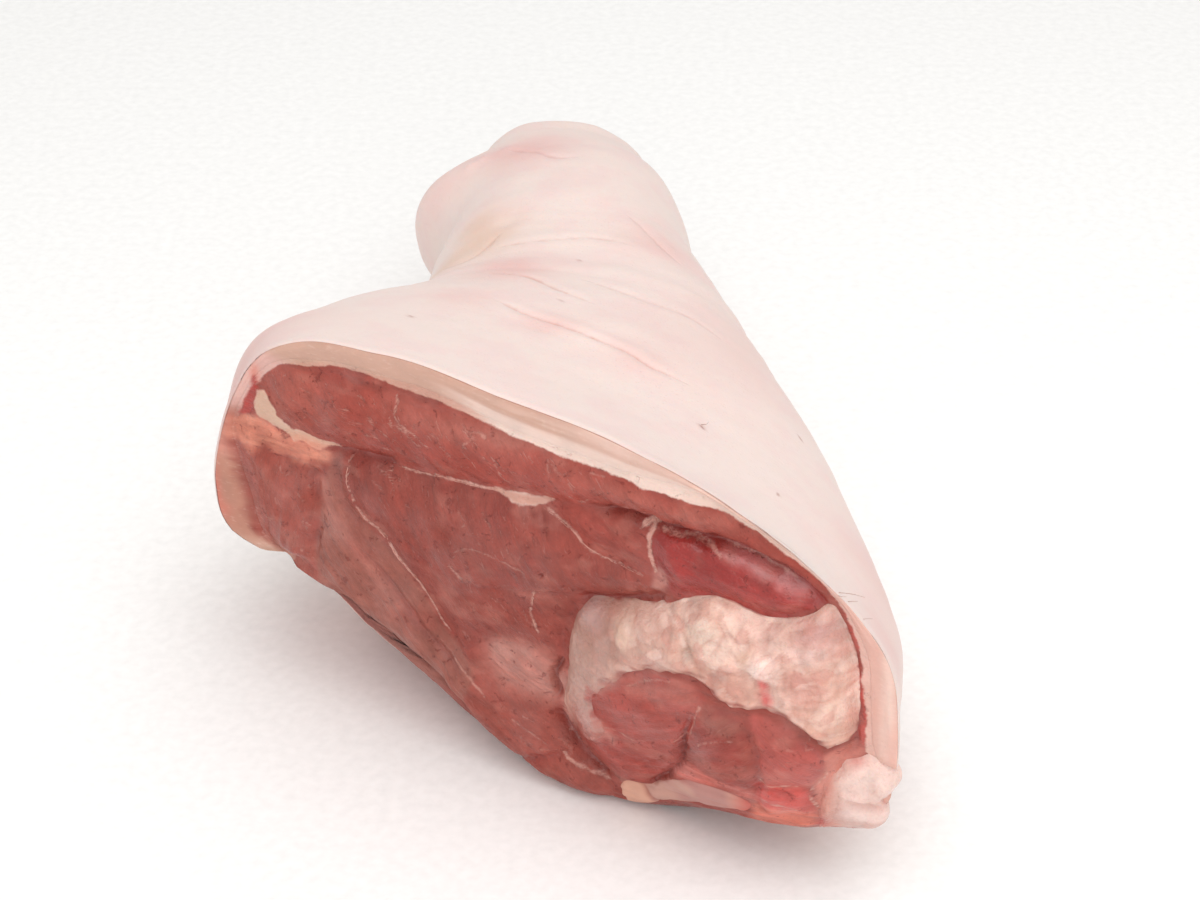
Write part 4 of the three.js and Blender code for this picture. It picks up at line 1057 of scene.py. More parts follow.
class Body:
    """Points with their marks, and the faces between them."""

    def __init__(self):
        self.points, self.faces, self.marks, self.count = [], [], {}, 0

    def add(self, points, **marks):
        shape = points.shape[:-1]
        size = int(np.prod(shape))
        for name, value in marks.items():
            width = 3 if name in ("tone", "fat_tone", "grain") else 1
            wanted = shape + ((3,) if width == 3 else ())
            store = self.marks.setdefault(name, [np.zeros((self.count, width))])
            store.append(np.broadcast_to(value, wanted).reshape(-1, width))
        self.points.append(points.reshape(-1, 3))
        self.count += size
        for name, store in self.marks.items():
            missing = self.count - sum(len(s) for s in store)
            if missing:
                store.append(np.zeros((missing, store[0].shape[1])))
        return np.arange(self.count - size, self.count).reshape(shape)

    def quads(self, index, closed=False):
        """Faces between the rows of an index grid."""
        if closed:
            index = np.concatenate([index, index[:, :1]], axis=1)
        a, b = index[:-1, :-1], index[:-1, 1:]
        c, d = index[1:, 1:], index[1:, :-1]
        self.faces.append(np.stack([a, b, c, d], -1).reshape(-1, 4))

    def fan(self, ring, centre):
        """Faces from a ring to a point in its middle."""
        following = np.roll(ring, -1)
        self.faces.append(np.stack([ring, following, np.full_like(ring, centre)], -1))

    def finish(self, name, material, slot, replaced=()):
        points = in_metres(np.concatenate(self.points))
        faces = [f for part in self.faces for f in part.tolist()]
        mesh = bpy.data.meshes.new(name)
        mesh.from_pydata(points.tolist(), [], faces)
        if signed_volume(points, self.faces) < 0:
            mesh.flip_normals()
        mesh.polygons.foreach_set("use_smooth", [True] * len(mesh.polygons))
        for mark, store in self.marks.items():
            values = np.concatenate(store)
            if mark in ("tone", "fat_tone"):
                values = np.hstack([np.clip(values, 0, 1), np.ones((len(values), 1))])
                layer = mesh.attributes.new(mark, "FLOAT_COLOR", "POINT")
                layer.data.foreach_set("color", values.ravel())
            elif mark == "grain":
                layer = mesh.attributes.new(mark, "FLOAT_VECTOR", "POINT")
                layer.data.foreach_set("vector", values.ravel())
            else:
                layer = mesh.attributes.new(mark, "FLOAT", "POINT")
                layer.data.foreach_set("value", values.ravel())
        mesh.update()
        placed(name, mesh, material, replaced)


def signed_volume(points, groups):
    """Above 0 where the faces look outward."""
    total = 0
    for group in groups:
        p = points[group]
        for k in range(2, group.shape[1]):
            total += np.einsum("ij,ij->", p[:, 0], np.cross(p[:, k - 1], p[:, k]))
    return total


def placed(name, mesh, material, replaced=()):
    """Puts a finished mesh in the scene and on the part's one body."""
    piece = bpy.data.objects.new(name, mesh)
    bpy.context.scene.collection.objects.link(piece)
    mesh.materials.clear()
    mesh.materials.append(material)
    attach(piece, "root")
    if replaced:
        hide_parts(*replaced)


# ---- Finishes ---------------------------------------------------------


class Field:
    """A node's output that sums and products can be written with."""

    def __init__(self, paint, socket):
        self.paint, self.socket = paint, socket

    def _with(self, operation, a, b):
        return self.paint.node("ShaderNodeMath", {"operation": operation}, {0: a, 1: b})[0]

    def __add__(self, other):
        return self._with("ADD", self, other)

    __radd__ = __add__

    def __sub__(self, other):
        return self._with("SUBTRACT", self, other)

    def __rsub__(self, other):
        return self._with("SUBTRACT", other, self)

    def __mul__(self, other):
        return self._with("MULTIPLY", self, other)

    __rmul__ = __mul__


class Paint:
    """A finish, built from nodes round one Principled shader."""

    def __init__(self, name, **constants):
        self.material = bpy.data.materials.new(name)
        self.material.use_nodes = True
        self.tree = self.material.node_tree
        self.shader = next(n for n in self.tree.nodes if n.type == "BSDF_PRINCIPLED")
        for socket, value in constants.items():
            self.shader.inputs[socket.replace("_", " ")].default_value = value

    def node(self, kind, settings=None, sockets=None):
        """Adds a node: its settings first, then its sockets' values or links."""
        node = self.tree.nodes.new(kind)
        for key, value in (settings or {}).items():
            setattr(node, key, value)
        for key, value in (sockets or {}).items():
            if isinstance(value, Field):
                self.tree.links.new(value.socket, node.inputs[key])
            else:
                node.inputs[key].default_value = value
        return [Field(self, s) for s in node.outputs]

    def mark(self, name):
        """A mark that the mesh carries: (colour, vector, number)."""
        return self.node("ShaderNodeAttribute", {"attribute_name": name})

    def place(self):
        return self.node("ShaderNodeTexCoord")[3]

    def stretched(self, vector, scale):
        return self.node("ShaderNodeMapping", None, {"Vector": vector, "Scale": scale})[0]

    def noise(self, vector, size, detail=2.0, roughness=0.5, distortion=0.0):
        """Noise from 0 to 1, with features of that size in metres."""
        return self.node("ShaderNodeTexNoise", None, {
            "Vector": vector, "Scale": 1 / size, "Detail": detail, "Roughness": roughness,
            "Distortion": distortion})[0]

    def cells(self, vector, size):
        """Distance to the nearest of scattered points, 0 at each."""
        return self.node("ShaderNodeTexVoronoi", {"feature": "F1"}, {
            "Vector": vector, "Scale": 1 / size})[0]

    def ramp(self, value, start, end, low=0.0, high=1.0):
        """Goes smoothly from low to high as the value goes from start to end."""
        return self.node("ShaderNodeMapRange", {"interpolation_type": "SMOOTHSTEP"}, {
            0: value, 1: start, 2: end, 3: low, 4: high})[0]

    def colours(self, factor, a, b):
        """From colour a to colour b; each a Field or the name of a tone."""
        a, b = (c if isinstance(c, Field) else (*TONE[c], 1.0) for c in (a, b))
        return self.node("ShaderNodeMix", {"data_type": "RGBA"}, {0: factor, 6: a, 7: b})[2]

    def lit(self, colour, factor):
        """A colour made lighter or darker by a number round 1."""
        return self.node("ShaderNodeVectorMath", {"operation": "SCALE"}, {
            0: colour, 3: factor})[0]

    def set(self, **fields):
        for socket, field in fields.items():
            self.tree.links.new(field.socket, self.shader.inputs[socket.replace("_", " ")])

    def bump(self, height, distance):
        self.set(Normal=self.node("ShaderNodeBump", None, {
            "Height": height, "Distance": distance, "Strength": 1.0})[0])


SOFT = {"IOR": 1.42, "Subsurface_Scale": 1 * MM}


def meat_finish():
    paint = Paint("lean_meat", Subsurface_Weight=0.1, Subsurface_Radius=(2.4, 0.7, 0.4),
                  Coat_Roughness=0.16, Specular_IOR_Level=0.4, **SOFT)
    place, grain = paint.place(), paint.mark("grain")[1]
    calm = paint.mark("calm")[2]  # 0 where one muscle's fibres meet the next one's
    bundles = (paint.noise(grain, 1.3 * MM, 3.0, 0.6, 0.5) - 0.5) * calm + 0.5
    threads = (paint.noise(grain, 0.55 * MM, 2.0, 0.6, 0.3) - 0.5) * calm + 0.5
    mottle = paint.noise(place, 5 * MM, 4.0, 0.62, 0.3)
    speckle = paint.noise(place, 1.2 * MM, 2.0, 0.6)
    colour = paint.lit(paint.mark("tone")[0],
                       0.42 + 0.36 * bundles + 0.34 * mottle + 0.24 * speckle + 0.22 * threads)
    pits = paint.ramp(paint.noise(place, 3.0 * MM, 3.0, 0.65, 0.6), 0.40, 0.30)
    colour = paint.colours(pits * 0.5, colour, "meat_pits")
    streaks = paint.noise(paint.stretched(grain, (1.5, 1, 1)), 1.7 * MM, 3.0, 0.6, 1.6)
    flecks = paint.ramp(streaks, 0.60, 0.70) * (paint.mark("flecks")[2] * 0.7 + 0.3) * calm
    colour = paint.colours(flecks * 0.4, colour, "meat_flecks")
    film = paint.ramp(paint.noise(place, 13 * MM, 3.0, 0.55, 0.6), 0.52, 0.72)
    colour = paint.colours(film * 0.16, colour, "meat_film")
    ragged = paint.noise(place, 2.0 * MM, 3.0, 0.6)
    fat = paint.ramp(paint.mark("fat")[2] + ragged * 1.4, 0.1, 1.1)
    colour = paint.colours(fat, colour, fat_look(paint, place))
    seam = paint.ramp(paint.mark("seam")[2] + ragged * 1.7, 0.25, 1.15, 1.0, 0.0)
    colour = paint.colours(seam * (1 - fat) * paint.mark("white")[2] * 0.85, colour, "seam")
    wet = paint.mark("wet")[2]
    paint.set(Base_Color=colour,
              Roughness=0.56 + mottle * 0.16 - wet * 0.26,
              Coat_Weight=wet * 0.5)
    paint.bump(bundles * 0.45 + threads * 0.25 + mottle * 0.6 + speckle * 0.35 + seam * 0.4
               + fat * 0.2 + flecks * 0.25 - pits * 0.3, 0.75 * MM)
    return paint.material


def fat_look(paint, place):
    """Firm fat: soft clouds with fine fibres through it."""
    clouds = paint.noise(place, 7 * MM, 3.0, 0.55)
    threads = paint.noise(paint.stretched(place, (0.35, 1, 1.6)), 1.6 * MM, 2.0, 0.6)
    colour = paint.lit(paint.mark("fat_tone")[0], 0.88 + 0.16 * clouds + 0.08 * threads)
    return paint.colours(paint.ramp(threads, 0.56, 0.74, 0, 0.12), colour, "fat_threads")


def rind_finish():
    paint = Paint("rind_and_fat", Subsurface_Weight=0.16, Subsurface_Radius=(3.2, 1.7, 1.1),
                  Coat_Roughness=0.3, Specular_IOR_Level=0.35, **SOFT)
    place = paint.place()
    edge = paint.mark("edge")[2]
    mottle = paint.noise(place, 22 * MM, 4.0, 0.55, 0.3)
    fine = paint.noise(place, 3.2 * MM, 3.0, 0.6)
    pores = paint.cells(place, 1.7 * MM)
    skin = paint.colours(paint.ramp(mottle, 0.42, 0.66, 0, 0.55), "skin", "skin_pink")
    skin = paint.colours(paint.mark("flush")[2] * 0.75, skin, "flush")
    skin = paint.colours(paint.mark("tan")[2] * 0.8, skin, "tan")
    crease = paint.ramp(paint.mark("crease")[2] + fine, 0.2, 1.7, 1.0, 0.0)
    skin = paint.colours(crease * paint.mark("pink")[2] * 0.6, skin, "crease")
    skin = paint.colours(paint.mark("speck")[2] * 0.8, skin, "speck")
    skin = paint.lit(skin, 0.965 + 0.05 * fine + 0.02 * mottle)
    skin = paint.colours(paint.ramp(pores, 0.0, 0.22, 0.16, 0.0), skin, "pores")
    on_skin = paint.ramp(edge + fine * 0.5, -0.1, 0.5)
    colour = paint.colours(on_skin, fat_look(paint, place), skin)
    line = paint.ramp(edge * edge + fine * 0.5, 0.2, 1.1, 1.0, 0.0)
    colour = paint.colours(line * paint.mark("dry")[2] * 0.6, colour, "dry_edge")
    paint.set(Base_Color=colour, Roughness=0.5 + fine * 0.12 - on_skin * 0.04,
              Coat_Weight=0.12 + 0.1 * mottle - on_skin * 0.06)
    wrinkles = paint.noise(paint.mark("grain")[1], 1.6 * MM, 3.0, 0.6)
    paint.bump(wrinkles * 0.12 + fine * 0.4 + paint.ramp(pores, 0.0, 0.3, -0.3, 0.0)
               - crease * 0.6, 0.32 * MM)
    return paint.material


def pad_finish():
    """Soft lumpy fat."""
    paint = Paint("knuckle_fat", Subsurface_Weight=0.18, Subsurface_Radius=(3.2, 1.5, 0.9),
                  Coat_Roughness=0.18, Specular_IOR_Level=0.45, **SOFT)
    place = paint.place()
    clouds = paint.noise(place, 5 * MM, 3.0, 0.6, 0.4)
    grain = paint.noise(place, 1.3 * MM, 2.0, 0.6)
    veins = paint.noise(place, 9 * MM, 4.0, 0.65, 1.4)
    colour = paint.lit(paint.mark("tone")[0], 0.76 + 0.3 * clouds + 0.16 * grain)
    thin = paint.ramp(veins, 0.485, 0.5) * paint.ramp(veins, 0.5, 0.515, 1.0, 0.0)
    colour = paint.colours(thin * 0.25, colour, "veins")
    wet = paint.mark("wet")[2]
    paint.set(Base_Color=colour, Roughness=0.46 + clouds * 0.12 - wet * 0.16,
              Coat_Weight=0.15 + wet * 0.35)
    paint.bump(clouds + grain * 0.7, 0.7 * MM)
    return paint.material


def bone_finish():
    paint = Paint("bone", Subsurface_Weight=0.1, Subsurface_Radius=(2, 1.2, 0.8),
                  Specular_IOR_Level=0.4, **SOFT)
    place = paint.place()
    clouds = paint.noise(place, 6 * MM, 3.0, 0.6)
    holes = paint.cells(place, 1.1 * MM)
    spongy = paint.mark("spongy")[2]
    colour = paint.lit(paint.mark("tone")[0], 0.88 + 0.2 * clouds)
    colour = paint.colours(paint.ramp(holes, 0.1, 0.45, 0.75, 0.0) * spongy, colour, "bone_pores")
    paint.set(Base_Color=colour, Roughness=0.42 + clouds * 0.15)
    paint.bump(clouds * 0.4 + holes * spongy, 0.4 * MM)
    return paint.material


def plain_finish(name, roughness):
    paint = Paint(name, Roughness=roughness)
    paint.set(Base_Color=paint.lit(tuple(TONE[name]), 0.92 + 0.16 * paint.noise(paint.place(), 4 * MM)))
    return paint.material


# ---- Lean meat --------------------------------------------------------


def disc(a, b):
    """A square grid's points as (radius, theta) of a disc."""
    wide = np.abs(a) >= np.abs(b)
    safe = np.where(np.where(wide, a, b) == 0, 1, np.where(wide, a, b))
    phi = np.where(wide, np.pi / 4 * b / safe, np.pi / 2 - np.pi / 4 * a / safe)
    r = np.where(wide, a, b)
    return np.abs(r), np.arctan2(r * np.sin(phi), r * np.cos(phi))


def meat_overlap(theta):
    """How far the meat reaches under the cut edge of the fat."""
    return np.minimum(OVERLAP, 0.45 * edge_thickness(theta))


def ragged_rim(theta):
    """Shreds and steps along the bare lower rim of the cut."""
    p = np.stack([np.cos(theta) * 120, np.sin(theta) * 120, theta * 0], -1)
    deg = np.degrees(theta) % 360
    steps = sum(height * smooth(deg, start, end) for height, start, end in RIM_STEPS)
    return tapered(theta) * layered(p, (1.1, 10, 51), (0.4, 5, 52)) + steps * (
        1 - smooth(deg, *STEPS_END))


def meat_reach(theta):
    return rim_radius(theta) - edge_thickness(theta) + meat_overlap(theta) + ragged_rim(theta)


def under_pad(u, v):
    """How deep the meat lies under the knob of fat and the pelvic bone."""
    pocket = 1.8 * smooth(strip_cover(PAD, u, v), 0.8, 4)
    return pocket + 1.4 * smooth(strip_cover(PELVIC_BONE, u, v), 0.5, 4)


def meat_side(around, at):
    """A ring of the meat round the leg: its points and marks."""
    ats = np.full_like(around, at)
    start, bare = rind_start(around), tapered(around)
    thick = rind_thickness(around, np.maximum(ats, start))
    drawn_back = 1 - WAIST["less"] * smooth(at, WAIST["from"], WAIST["to"])
    overlap = np.minimum(meat_overlap(around), 0.45 * thick) * drawn_back
    p = surface(around, ats, thick - overlap - ragged_rim(around) * np.exp(-at / RIM_FADE))
    bumps = layered(p, (1.0, 14, 61), (0.4, 5, 62)) - 0.6
    p = p + (bumps * bare * smooth(start - ats, -0.02, 0.02))[:, None] * outward(p, ats)
    p[:, 2] = np.maximum(p[:, 2], 0)
    tone = pasted(even_tone("underside", around), "lower", smooth(noise(p, 22, 63), -0.2, 0.5))
    tone = pasted(tone, "pale", 0.6 * smooth(rough(p, 26, 64), 0.1, 0.6))
    beside_lobe = smooth(np.degrees(around) % 360, 322, 332) * (1 - smooth(at, 0.08, 0.14))
    return p, {
        "tone": tone, "fat_tone": TONE["right_fold"], "wet": 0.35, "seam": NO_LINE, "white": 0.0,
        "fat": 3.2 * noise(p, (30, 16, 16), 65) - 2.0 + 6 * beside_lobe, "flecks": 0.3, "calm": 1.0,
        "grain": np.stack([p[:, 1] / 5, p[:, 0], p[:, 2]], -1) * MM}


def sawn_ring(end, middle, share):
    """A ring of the sawn end, at that share of the way from its middle."""
    p = middle + (end - middle) * share
    q = np.stack([p[:, 0], p[:, 2], p[:, 0] * 0], -1)
    first, _, tint = grains(q, 13, 71)
    p[:, 1] += 0.7 * noise(p, 6, 72) + (0.8 * (1 - first) if share < 1 else 0)
    tendon = 2.2 * (tint - 0.45) - 3.4 * first
    tone = pasted(even_tone("flank", first), "dark", 0.5 * smooth(first, 0.35, 0.75))
    return p, {
        "tone": tone, "fat_tone": TONE["band_inner"], "wet": 0.4, "seam": NO_LINE,
        "fat": np.where(share > 0.9, 1.5, tendon * 2 + 1.6), "flecks": 0.1, "calm": 1.0,
        "grain": q * MM}


def lean_meat(finish):
    body = Body()
    edge = np.linspace(-1, 1, FACE_CELLS + 1)
    share, theta = disc(*np.meshgrid(edge, edge))
    u, v = round_the_cut(theta, share * meat_reach(theta))
    face = cut_face(u, v)
    dive = 0.4 * smooth(share, 0.992, 1) * (1 - tapered(theta))
    height = face.pop("height") - under_pad(u, v) - dive
    index = body.add(on_cut(u, v, height), **face)
    body.quads(index)
    rim = np.concatenate([index[0, :-1], index[:-1, -1], index[-1, :0:-1], index[:0:-1, 0]])
    around = theta.ravel()[rim]

    rings = [rim]
    for at in SIDE_STATIONS:
        p, marks = meat_side(around, at)
        rings.append(body.add(p, **marks))
    end = rounded_end(around, 1.0, FAT_ALONG["shank"] - 1)
    end[:, 1] = MIDDLES[-1][1] + HOCK_END["depth"] - HOCK_END["recess"]
    middle = end.mean(axis=0)
    for share in SAWN_RINGS:
        p, marks = sawn_ring(end, middle, share)
        rings.append(body.add(p, **marks))
    body.quads(np.array(rings), closed=True)
    centre = body.add(middle[None], tone=TONE["flank"], fat_tone=TONE["band_inner"],
                      seam=NO_LINE, fat=-3.0, wet=0.3)
    body.fan(rings[-1], centre[0])
    body.finish("lean_meat_visual", finish, "lean", ["lean_meat"])


# ---- Rind and fat -----------------------------------------------------


def rind_columns():
    """Angles round the leg, closer together on top where the creases show."""
    spread = np.linspace(0, 2 * np.pi, 2001)
    density = 1 + 0.9 * smooth(np.sin(spread) + 0.12, 0, 0.25)
    travelled = np.concatenate([[0], np.cumsum(density[1:])])
    return np.interp(np.linspace(0, travelled[-1], RIND_COLUMNS + 1)[:-1], travelled, spread)


def from_skin_place(p, deg, share):
    """Each point's distance from a place on the skin."""
    return np.linalg.norm(p - surface(np.radians(deg), share), axis=-1)


def skin_patches(p, spots):
    """Soft patches of colour round places on the skin."""
    total = np.zeros(p.shape[:-1])
    for deg, share, radius, strength in spots:
        away = from_skin_place(p, deg, share) + 0.25 * radius * noise(p, radius * 0.6, 86)
        total += strength * bell(away / radius)
    return np.clip(total, 0, 1)


def skin_marks(p, theta, at):
    """Relief and colour marks of the skin at points p."""
    lift = layered(p, (0.55, 26, 81), (0.28, 10, 82))
    hock = window(at, 0.38, 0.46, 0.62, 0.72)
    around = np.stack([theta * 14, at * 400, theta * 0], -1)
    lift += (0.25 + 0.55 * hock) * layered(around, (1, (9, 11, 1), 83), (0.5, (6, 5, 1), 84)) * 0.6
    crease, pink = np.full(at.shape, NO_LINE), np.zeros(at.shape)
    for depth, colour, line in CREASES:
        deg, share = np.array(line, float).T
        away, where = to_line(p, along_line(surface(np.radians(deg), share), 20))
        ends = window(where, -0.02, 0.2, 0.8, 1.02)
        away = away + 0.5 * noise(p, 5, 85)
        lift -= depth * ends * bell(away / 1.15)
        lift += 0.55 * depth * ends * bell((away - 4) / 2.6)
        pink = np.where(away < crease, colour * ends, pink)
        crease = np.minimum(crease, away)
    for deg, share, radius, rise in SKIN_LUMPS:
        lift += rise * bell(from_skin_place(p, deg, share) / radius)
    speck = sum(bell(from_skin_place(p, deg, share) / radius) for deg, share, radius in SPECKS)
    return {"lift": lift, "crease": crease, "pink": pink, "flush": skin_patches(p, FLUSHES),
            "tan": skin_patches(p, TANS), "speck": np.clip(speck, 0, 1),
            "grain": np.stack([theta * 6, at * 400, theta * 0], -1) * MM}


def skin_rings(body, theta, start, dry):
    """The skin: closely spaced rings near the cut, then even ones to the hock."""
    share = np.array(SKIN_RINGS)[:, None]
    at = start + (1 - start) * share
    turned = np.broadcast_to(theta, at.shape)
    p = surface(turned, at)
    marks = skin_marks(p, turned, at)
    from_edge = share * LEG_LENGTH
    lift = marks.pop("lift") * smooth(from_edge, 0, 12) * smooth(p[..., 2], 0.3, 5)
    lip = 0.55 * bell(from_edge / 1.3) - 0.35 * bell((from_edge - 3.5) / 2.5)
    p = p + (lift - lip)[..., None] * outward(p, at)
    p[..., 2] = np.maximum(p[..., 2], 0)
    p[0] += OUT * -0.35
    return body.add(p, edge=from_edge + 0 * at, dry=dry, **marks)


def end_rings(body, theta):
    """Round the hock end and over its sawn edge."""
    rings = []
    for turn in np.linspace(0, 1, 10)[1:]:
        p = rounded_end(theta, turn)
        p = p + 0.3 * noise(p, 6, 87)[:, None]
        marks = skin_marks(p, theta, np.ones_like(theta))
        marks.pop("lift")
        rings.append(body.add(p, edge=50.0, dry=0.0, **marks))
    for inset, edge in ((1.2, -1.2), (3.0, -3.0), (FAT_ALONG["shank"], -5.0)):
        p = rounded_end(theta, 1.0, inset)
        p[:, 1] -= 0.25 * inset
        rings.append(body.add(p, edge=edge, dry=0.0, fat_tone=TONE["band_top"]))
    return rings


def band_rings(body, theta, start, dry):
    """The band of fat in the cut, from its inner edge out to the skin."""
    rings = []
    thick, under = edge_thickness(theta), meat_overlap(theta)
    hidden = [thick - k * under for k in HIDDEN_BAND]
    shown = [(thick - under) * k for k in SHOWN_BAND]
    for inset in hidden + shown:
        p = surface(theta, start, inset)
        face = cut_face(*round_the_cut(theta, rim_radius(theta) - inset))
        dip = 2.4 * smooth(inset - (thick - under), 0.25 * under, under)
        height = (face["height"] - 0.3 * np.exp(-inset / 0.6)) * (1 - tapered(theta)) - dip
        p = p + height[:, None] * OUT
        p[:, 2] = np.maximum(p[:, 2], 0)
        rings.append(body.add(p, edge=-inset, dry=dry, fat_tone=face["fat_tone"], crease=NO_LINE,
                              grain=face["grain"]))
    return rings


def rind_and_fat(finish):
    body = Body()
    theta = rind_columns()
    start, deg = rind_start(theta), np.degrees(theta)
    dry = smooth(deg, 20, 34) * (1 - 0.6 * smooth(deg, 130, 148)) * (1 - smooth(deg, 160, 172))
    skin = skin_rings(body, theta, start, dry)
    ends = end_rings(body, theta)
    inside = []
    for back in INSIDE_RINGS:
        at = start + (1 - start) * back
        p = surface(theta, at, rind_thickness(theta, at))
        inside.append(body.add(p, edge=-9.0, dry=0.0, fat_tone=TONE["band_top"]))
    band = band_rings(body, theta, start, dry)
    body.quads(np.array([*skin, *ends, *inside, *band, skin[0]]), closed=True)
    body.finish("rind_visual", finish, "rind", ["rind_and_fat"])


# ---- Fat over the knuckle, pelvic bone, lobe and shank bone -----------


def laid_strip(strip, grid, ragged):
    """(u, v) of a grid laid between a strip's edges, and the share across."""
    along, across = grid
    outer, inner = strip_edges(strip, along)
    t = np.linspace(0, 1, along)[:, None]
    s = np.linspace(0, 1, across)[None, :]
    s = 0.5 - 0.5 * np.cos(np.pi * s)
    uv = inner[:, None] * (1 - s[..., None]) + outer[:, None] * s[..., None]
    flat = np.concatenate([uv, np.zeros(uv.shape[:2] + (1,))], -1)
    aside = (outer - inner) / np.linalg.norm(outer - inner, axis=1, keepdims=True)
    push = (0.4 * s**2 - (1 - s) ** 2) * ragged * (noise(flat, 6, 91) + 0.6 * noise(flat, 2.6, 90))
    return uv + push[..., None] * aside[:, None], t, s


def closed_strip(body, top, bottom, marks):
    """Joins a strip's upper and lower side round their edges."""
    above = body.add(top, **marks)
    below = body.add(bottom[1:-1, 1:-1], **{k: v[1:-1, 1:-1] for k, v in marks.items()})
    full = above.copy()
    full[1:-1, 1:-1] = below
    body.quads(above)
    body.quads(full[:, ::-1])


def knuckle_fat(finish):
    body = Body()
    uv, t, s = laid_strip(PAD, PAD_GRID, 1.0)
    u, v = uv[..., 0], uv[..., 1]
    face, flat = cut_face(u, v), flat_points(u, v)
    width = np.linalg.norm(uv[:, -1] - uv[:, 0], axis=-1)[:, None]
    to_edge = np.minimum(np.minimum(s, 1 - s) * width, np.minimum(t, 1 - t) * PAD["length"])
    bent = flat + 2.2 * np.stack([noise(flat, 9, 92), noise(flat, 9, 93), u * 0], -1)

    def bent_from(u0, v0, ru, rv):
        """Squared distance from a place on the pad, in its half sizes."""
        middle = SWELL.on_face([(u0, v0)], PAD["above"])[0]
        return ((bent[..., 0] - middle[0]) / ru) ** 2 + ((bent[..., 1] - middle[1]) / rv) ** 2

    # Lobes, and small beads on them
    first, second, tint = grains(bent, (9.5, 7, 1), 94)
    small, small2, small_tint = grains(bent + 40, (4.4, 3.4, 1), 95)
    lumpy = smooth(u, 2, 30) * (0.75 + 0.25 * noise(flat, 19, 98))
    lobes = (0.7 * rough(flat, 15, 99) + (0.3 + 0.9 * lumpy) * (0.7 - first**2)
             + (0.25 + 0.75 * lumpy) * (0.7 - small**2) + 0.35 * noise(flat, 1.9, 85))
    for *place, rise in PAD_LUMPS:
        lobes += rise * np.exp(-bent_from(*place) ** 1.3)
    crease = np.full(u.shape, NO_LINE)
    for line in PAD_CREASES:
        away, _ = to_line(bent[..., :2], SWELL.on_face(line, PAD["above"]))
        crease = np.minimum(crease, away)
    crease = bell(crease / 0.8)
    rise = smooth(to_edge + 0.5 * noise(flat, 3, 89), 0, 3.2)
    fine = 0.2 * rough(flat, 2.4, 96)
    height = (face["height"] - 0.5 * (1 - smooth(to_edge, 0, 0.8))
              + rise * (1.0 + lobes * (0.35 + 0.65 * smooth(to_edge, 0, 6)) + fine - 0.4 * crease))
    valley = np.clip(1 - (second - first) / 0.22, 0, 1) * rise * (0.2 + 0.6 * lumpy)
    creases = np.clip(1 - (small2 - small) / 0.2, 0, 1) * rise * (0.2 + 0.6 * lumpy)

    tone = even_tone("pad", u)
    # Pale on the lumps and darker in the dents: partly painted highlight and shade, partly the fat's
    # own tints.
    for colour, strength, *place in PAD_PAINT:
        tone = pasted(tone, colour, strength * np.exp(-bent_from(*place) ** 1.5))
    # A painted highlight on some of the lobes, and darker creases and valleys between them, partly
    # painted shade.
    lit = smooth(tint + 0.3 * noise(flat, 6, 87), 0.45, 0.9)
    for colour, weight in (
            ("pad_lobe_highlight", 0.7 * lit * lumpy),
            ("pad_beads", 0.55 * smooth(small_tint, 0.6, 0.95) * lumpy),
            ("pad_pink", 0.5 * smooth(-small_tint, -0.3, -0.05) * (0.4 + 0.6 * lumpy)),
            ("pad_grey", 0.5 * smooth(rough(flat, 7, 84), 0.15, 0.6)),
            ("pad_creases", 0.25 * crease * rise + 0.35 * valley + 0.3 * creases)):
        tone = pasted(tone, colour, weight)
    tone = tone * (1 + layered(flat, (0.06, 4, 86), (0.05, 1.8, 83)))[..., None]

    # Its outer edge thins out over the meat
    streaky = noise(face["grain"] / MM, (1.6, 1.2, 1), 89)
    reach = np.where(s < 0.5, 3.4, 1.1) * (1 + 0.5 * smooth(-u, -20, 4) * (s < 0.5))
    thin = 1 - smooth(to_edge + (0.45 * streaky + 0.3 * noise(flat, 3.5, 88)) * reach, 0.15, reach)
    tone = pasted(tone, face["tone"], 0.85 * thin)
    marks = {"tone": tone, "wet": np.clip(0.5 + 0.6 * noise(flat, 7, 97), 0, 1)}
    base = face["height"] - mix(1.6, PAD["depth"], np.sin(np.pi * s) * np.sin(np.pi * t) ** 0.3)
    closed_strip(body, on_cut(u, v, height), on_cut(u, v, np.minimum(base, height - 0.2)), marks)
    body.finish("knuckle_fat_visual", finish, "fat", ["knuckle_fat"])


def pelvic_bone(finish):
    body = Body()
    uv, t, s = laid_strip(PELVIC_BONE, PELVIC_GRID, 0.5)
    u, v = uv[..., 0], uv[..., 1]
    face, flat = cut_face(u, v), flat_points(u, v)
    dome = np.sin(np.pi * s) ** 0.6 * np.sin(np.pi * np.clip(t, 0.001, 0.999)) ** 0.35
    joint = SWELL.on_face(PELVIC_BONE["joint"], PELVIC_BONE["above"])
    away, _ = to_line(uv, joint)
    ridge = bell(away / 0.9)
    height = face["height"] - 1.0 + 3.0 * dome - 0.7 * ridge + 0.3 * noise(flat, 6, 101)
    tone = even_tone("pelvic", u)
    for colour, weight in (
            ("pelvic_light", smooth(noise(flat, 9, 102), -0.2, 0.5)),
            ("pelvic_knob", smooth(joint[1][0] - u + 0.5 * (joint[1][1] - v), -1, 1)),
            ("pelvic_joint", 0.8 * ridge),
            ("pelvic_rim", 0.6 * (1 - smooth(dome, 0.1, 0.55))),
            ("pelvic_end", 0.8 * smooth(t, 0.82, 1))):
        tone = pasted(tone, colour, weight)
    base = face["height"] - 1.8 - 3 * dome
    closed_strip(body, on_cut(u, v, height), on_cut(u, v, base), {"tone": tone, "wet": 0.4 + 0 * u})
    body.finish("pelvic_bone_visual", finish, "bone", ["pelvic_bone"])


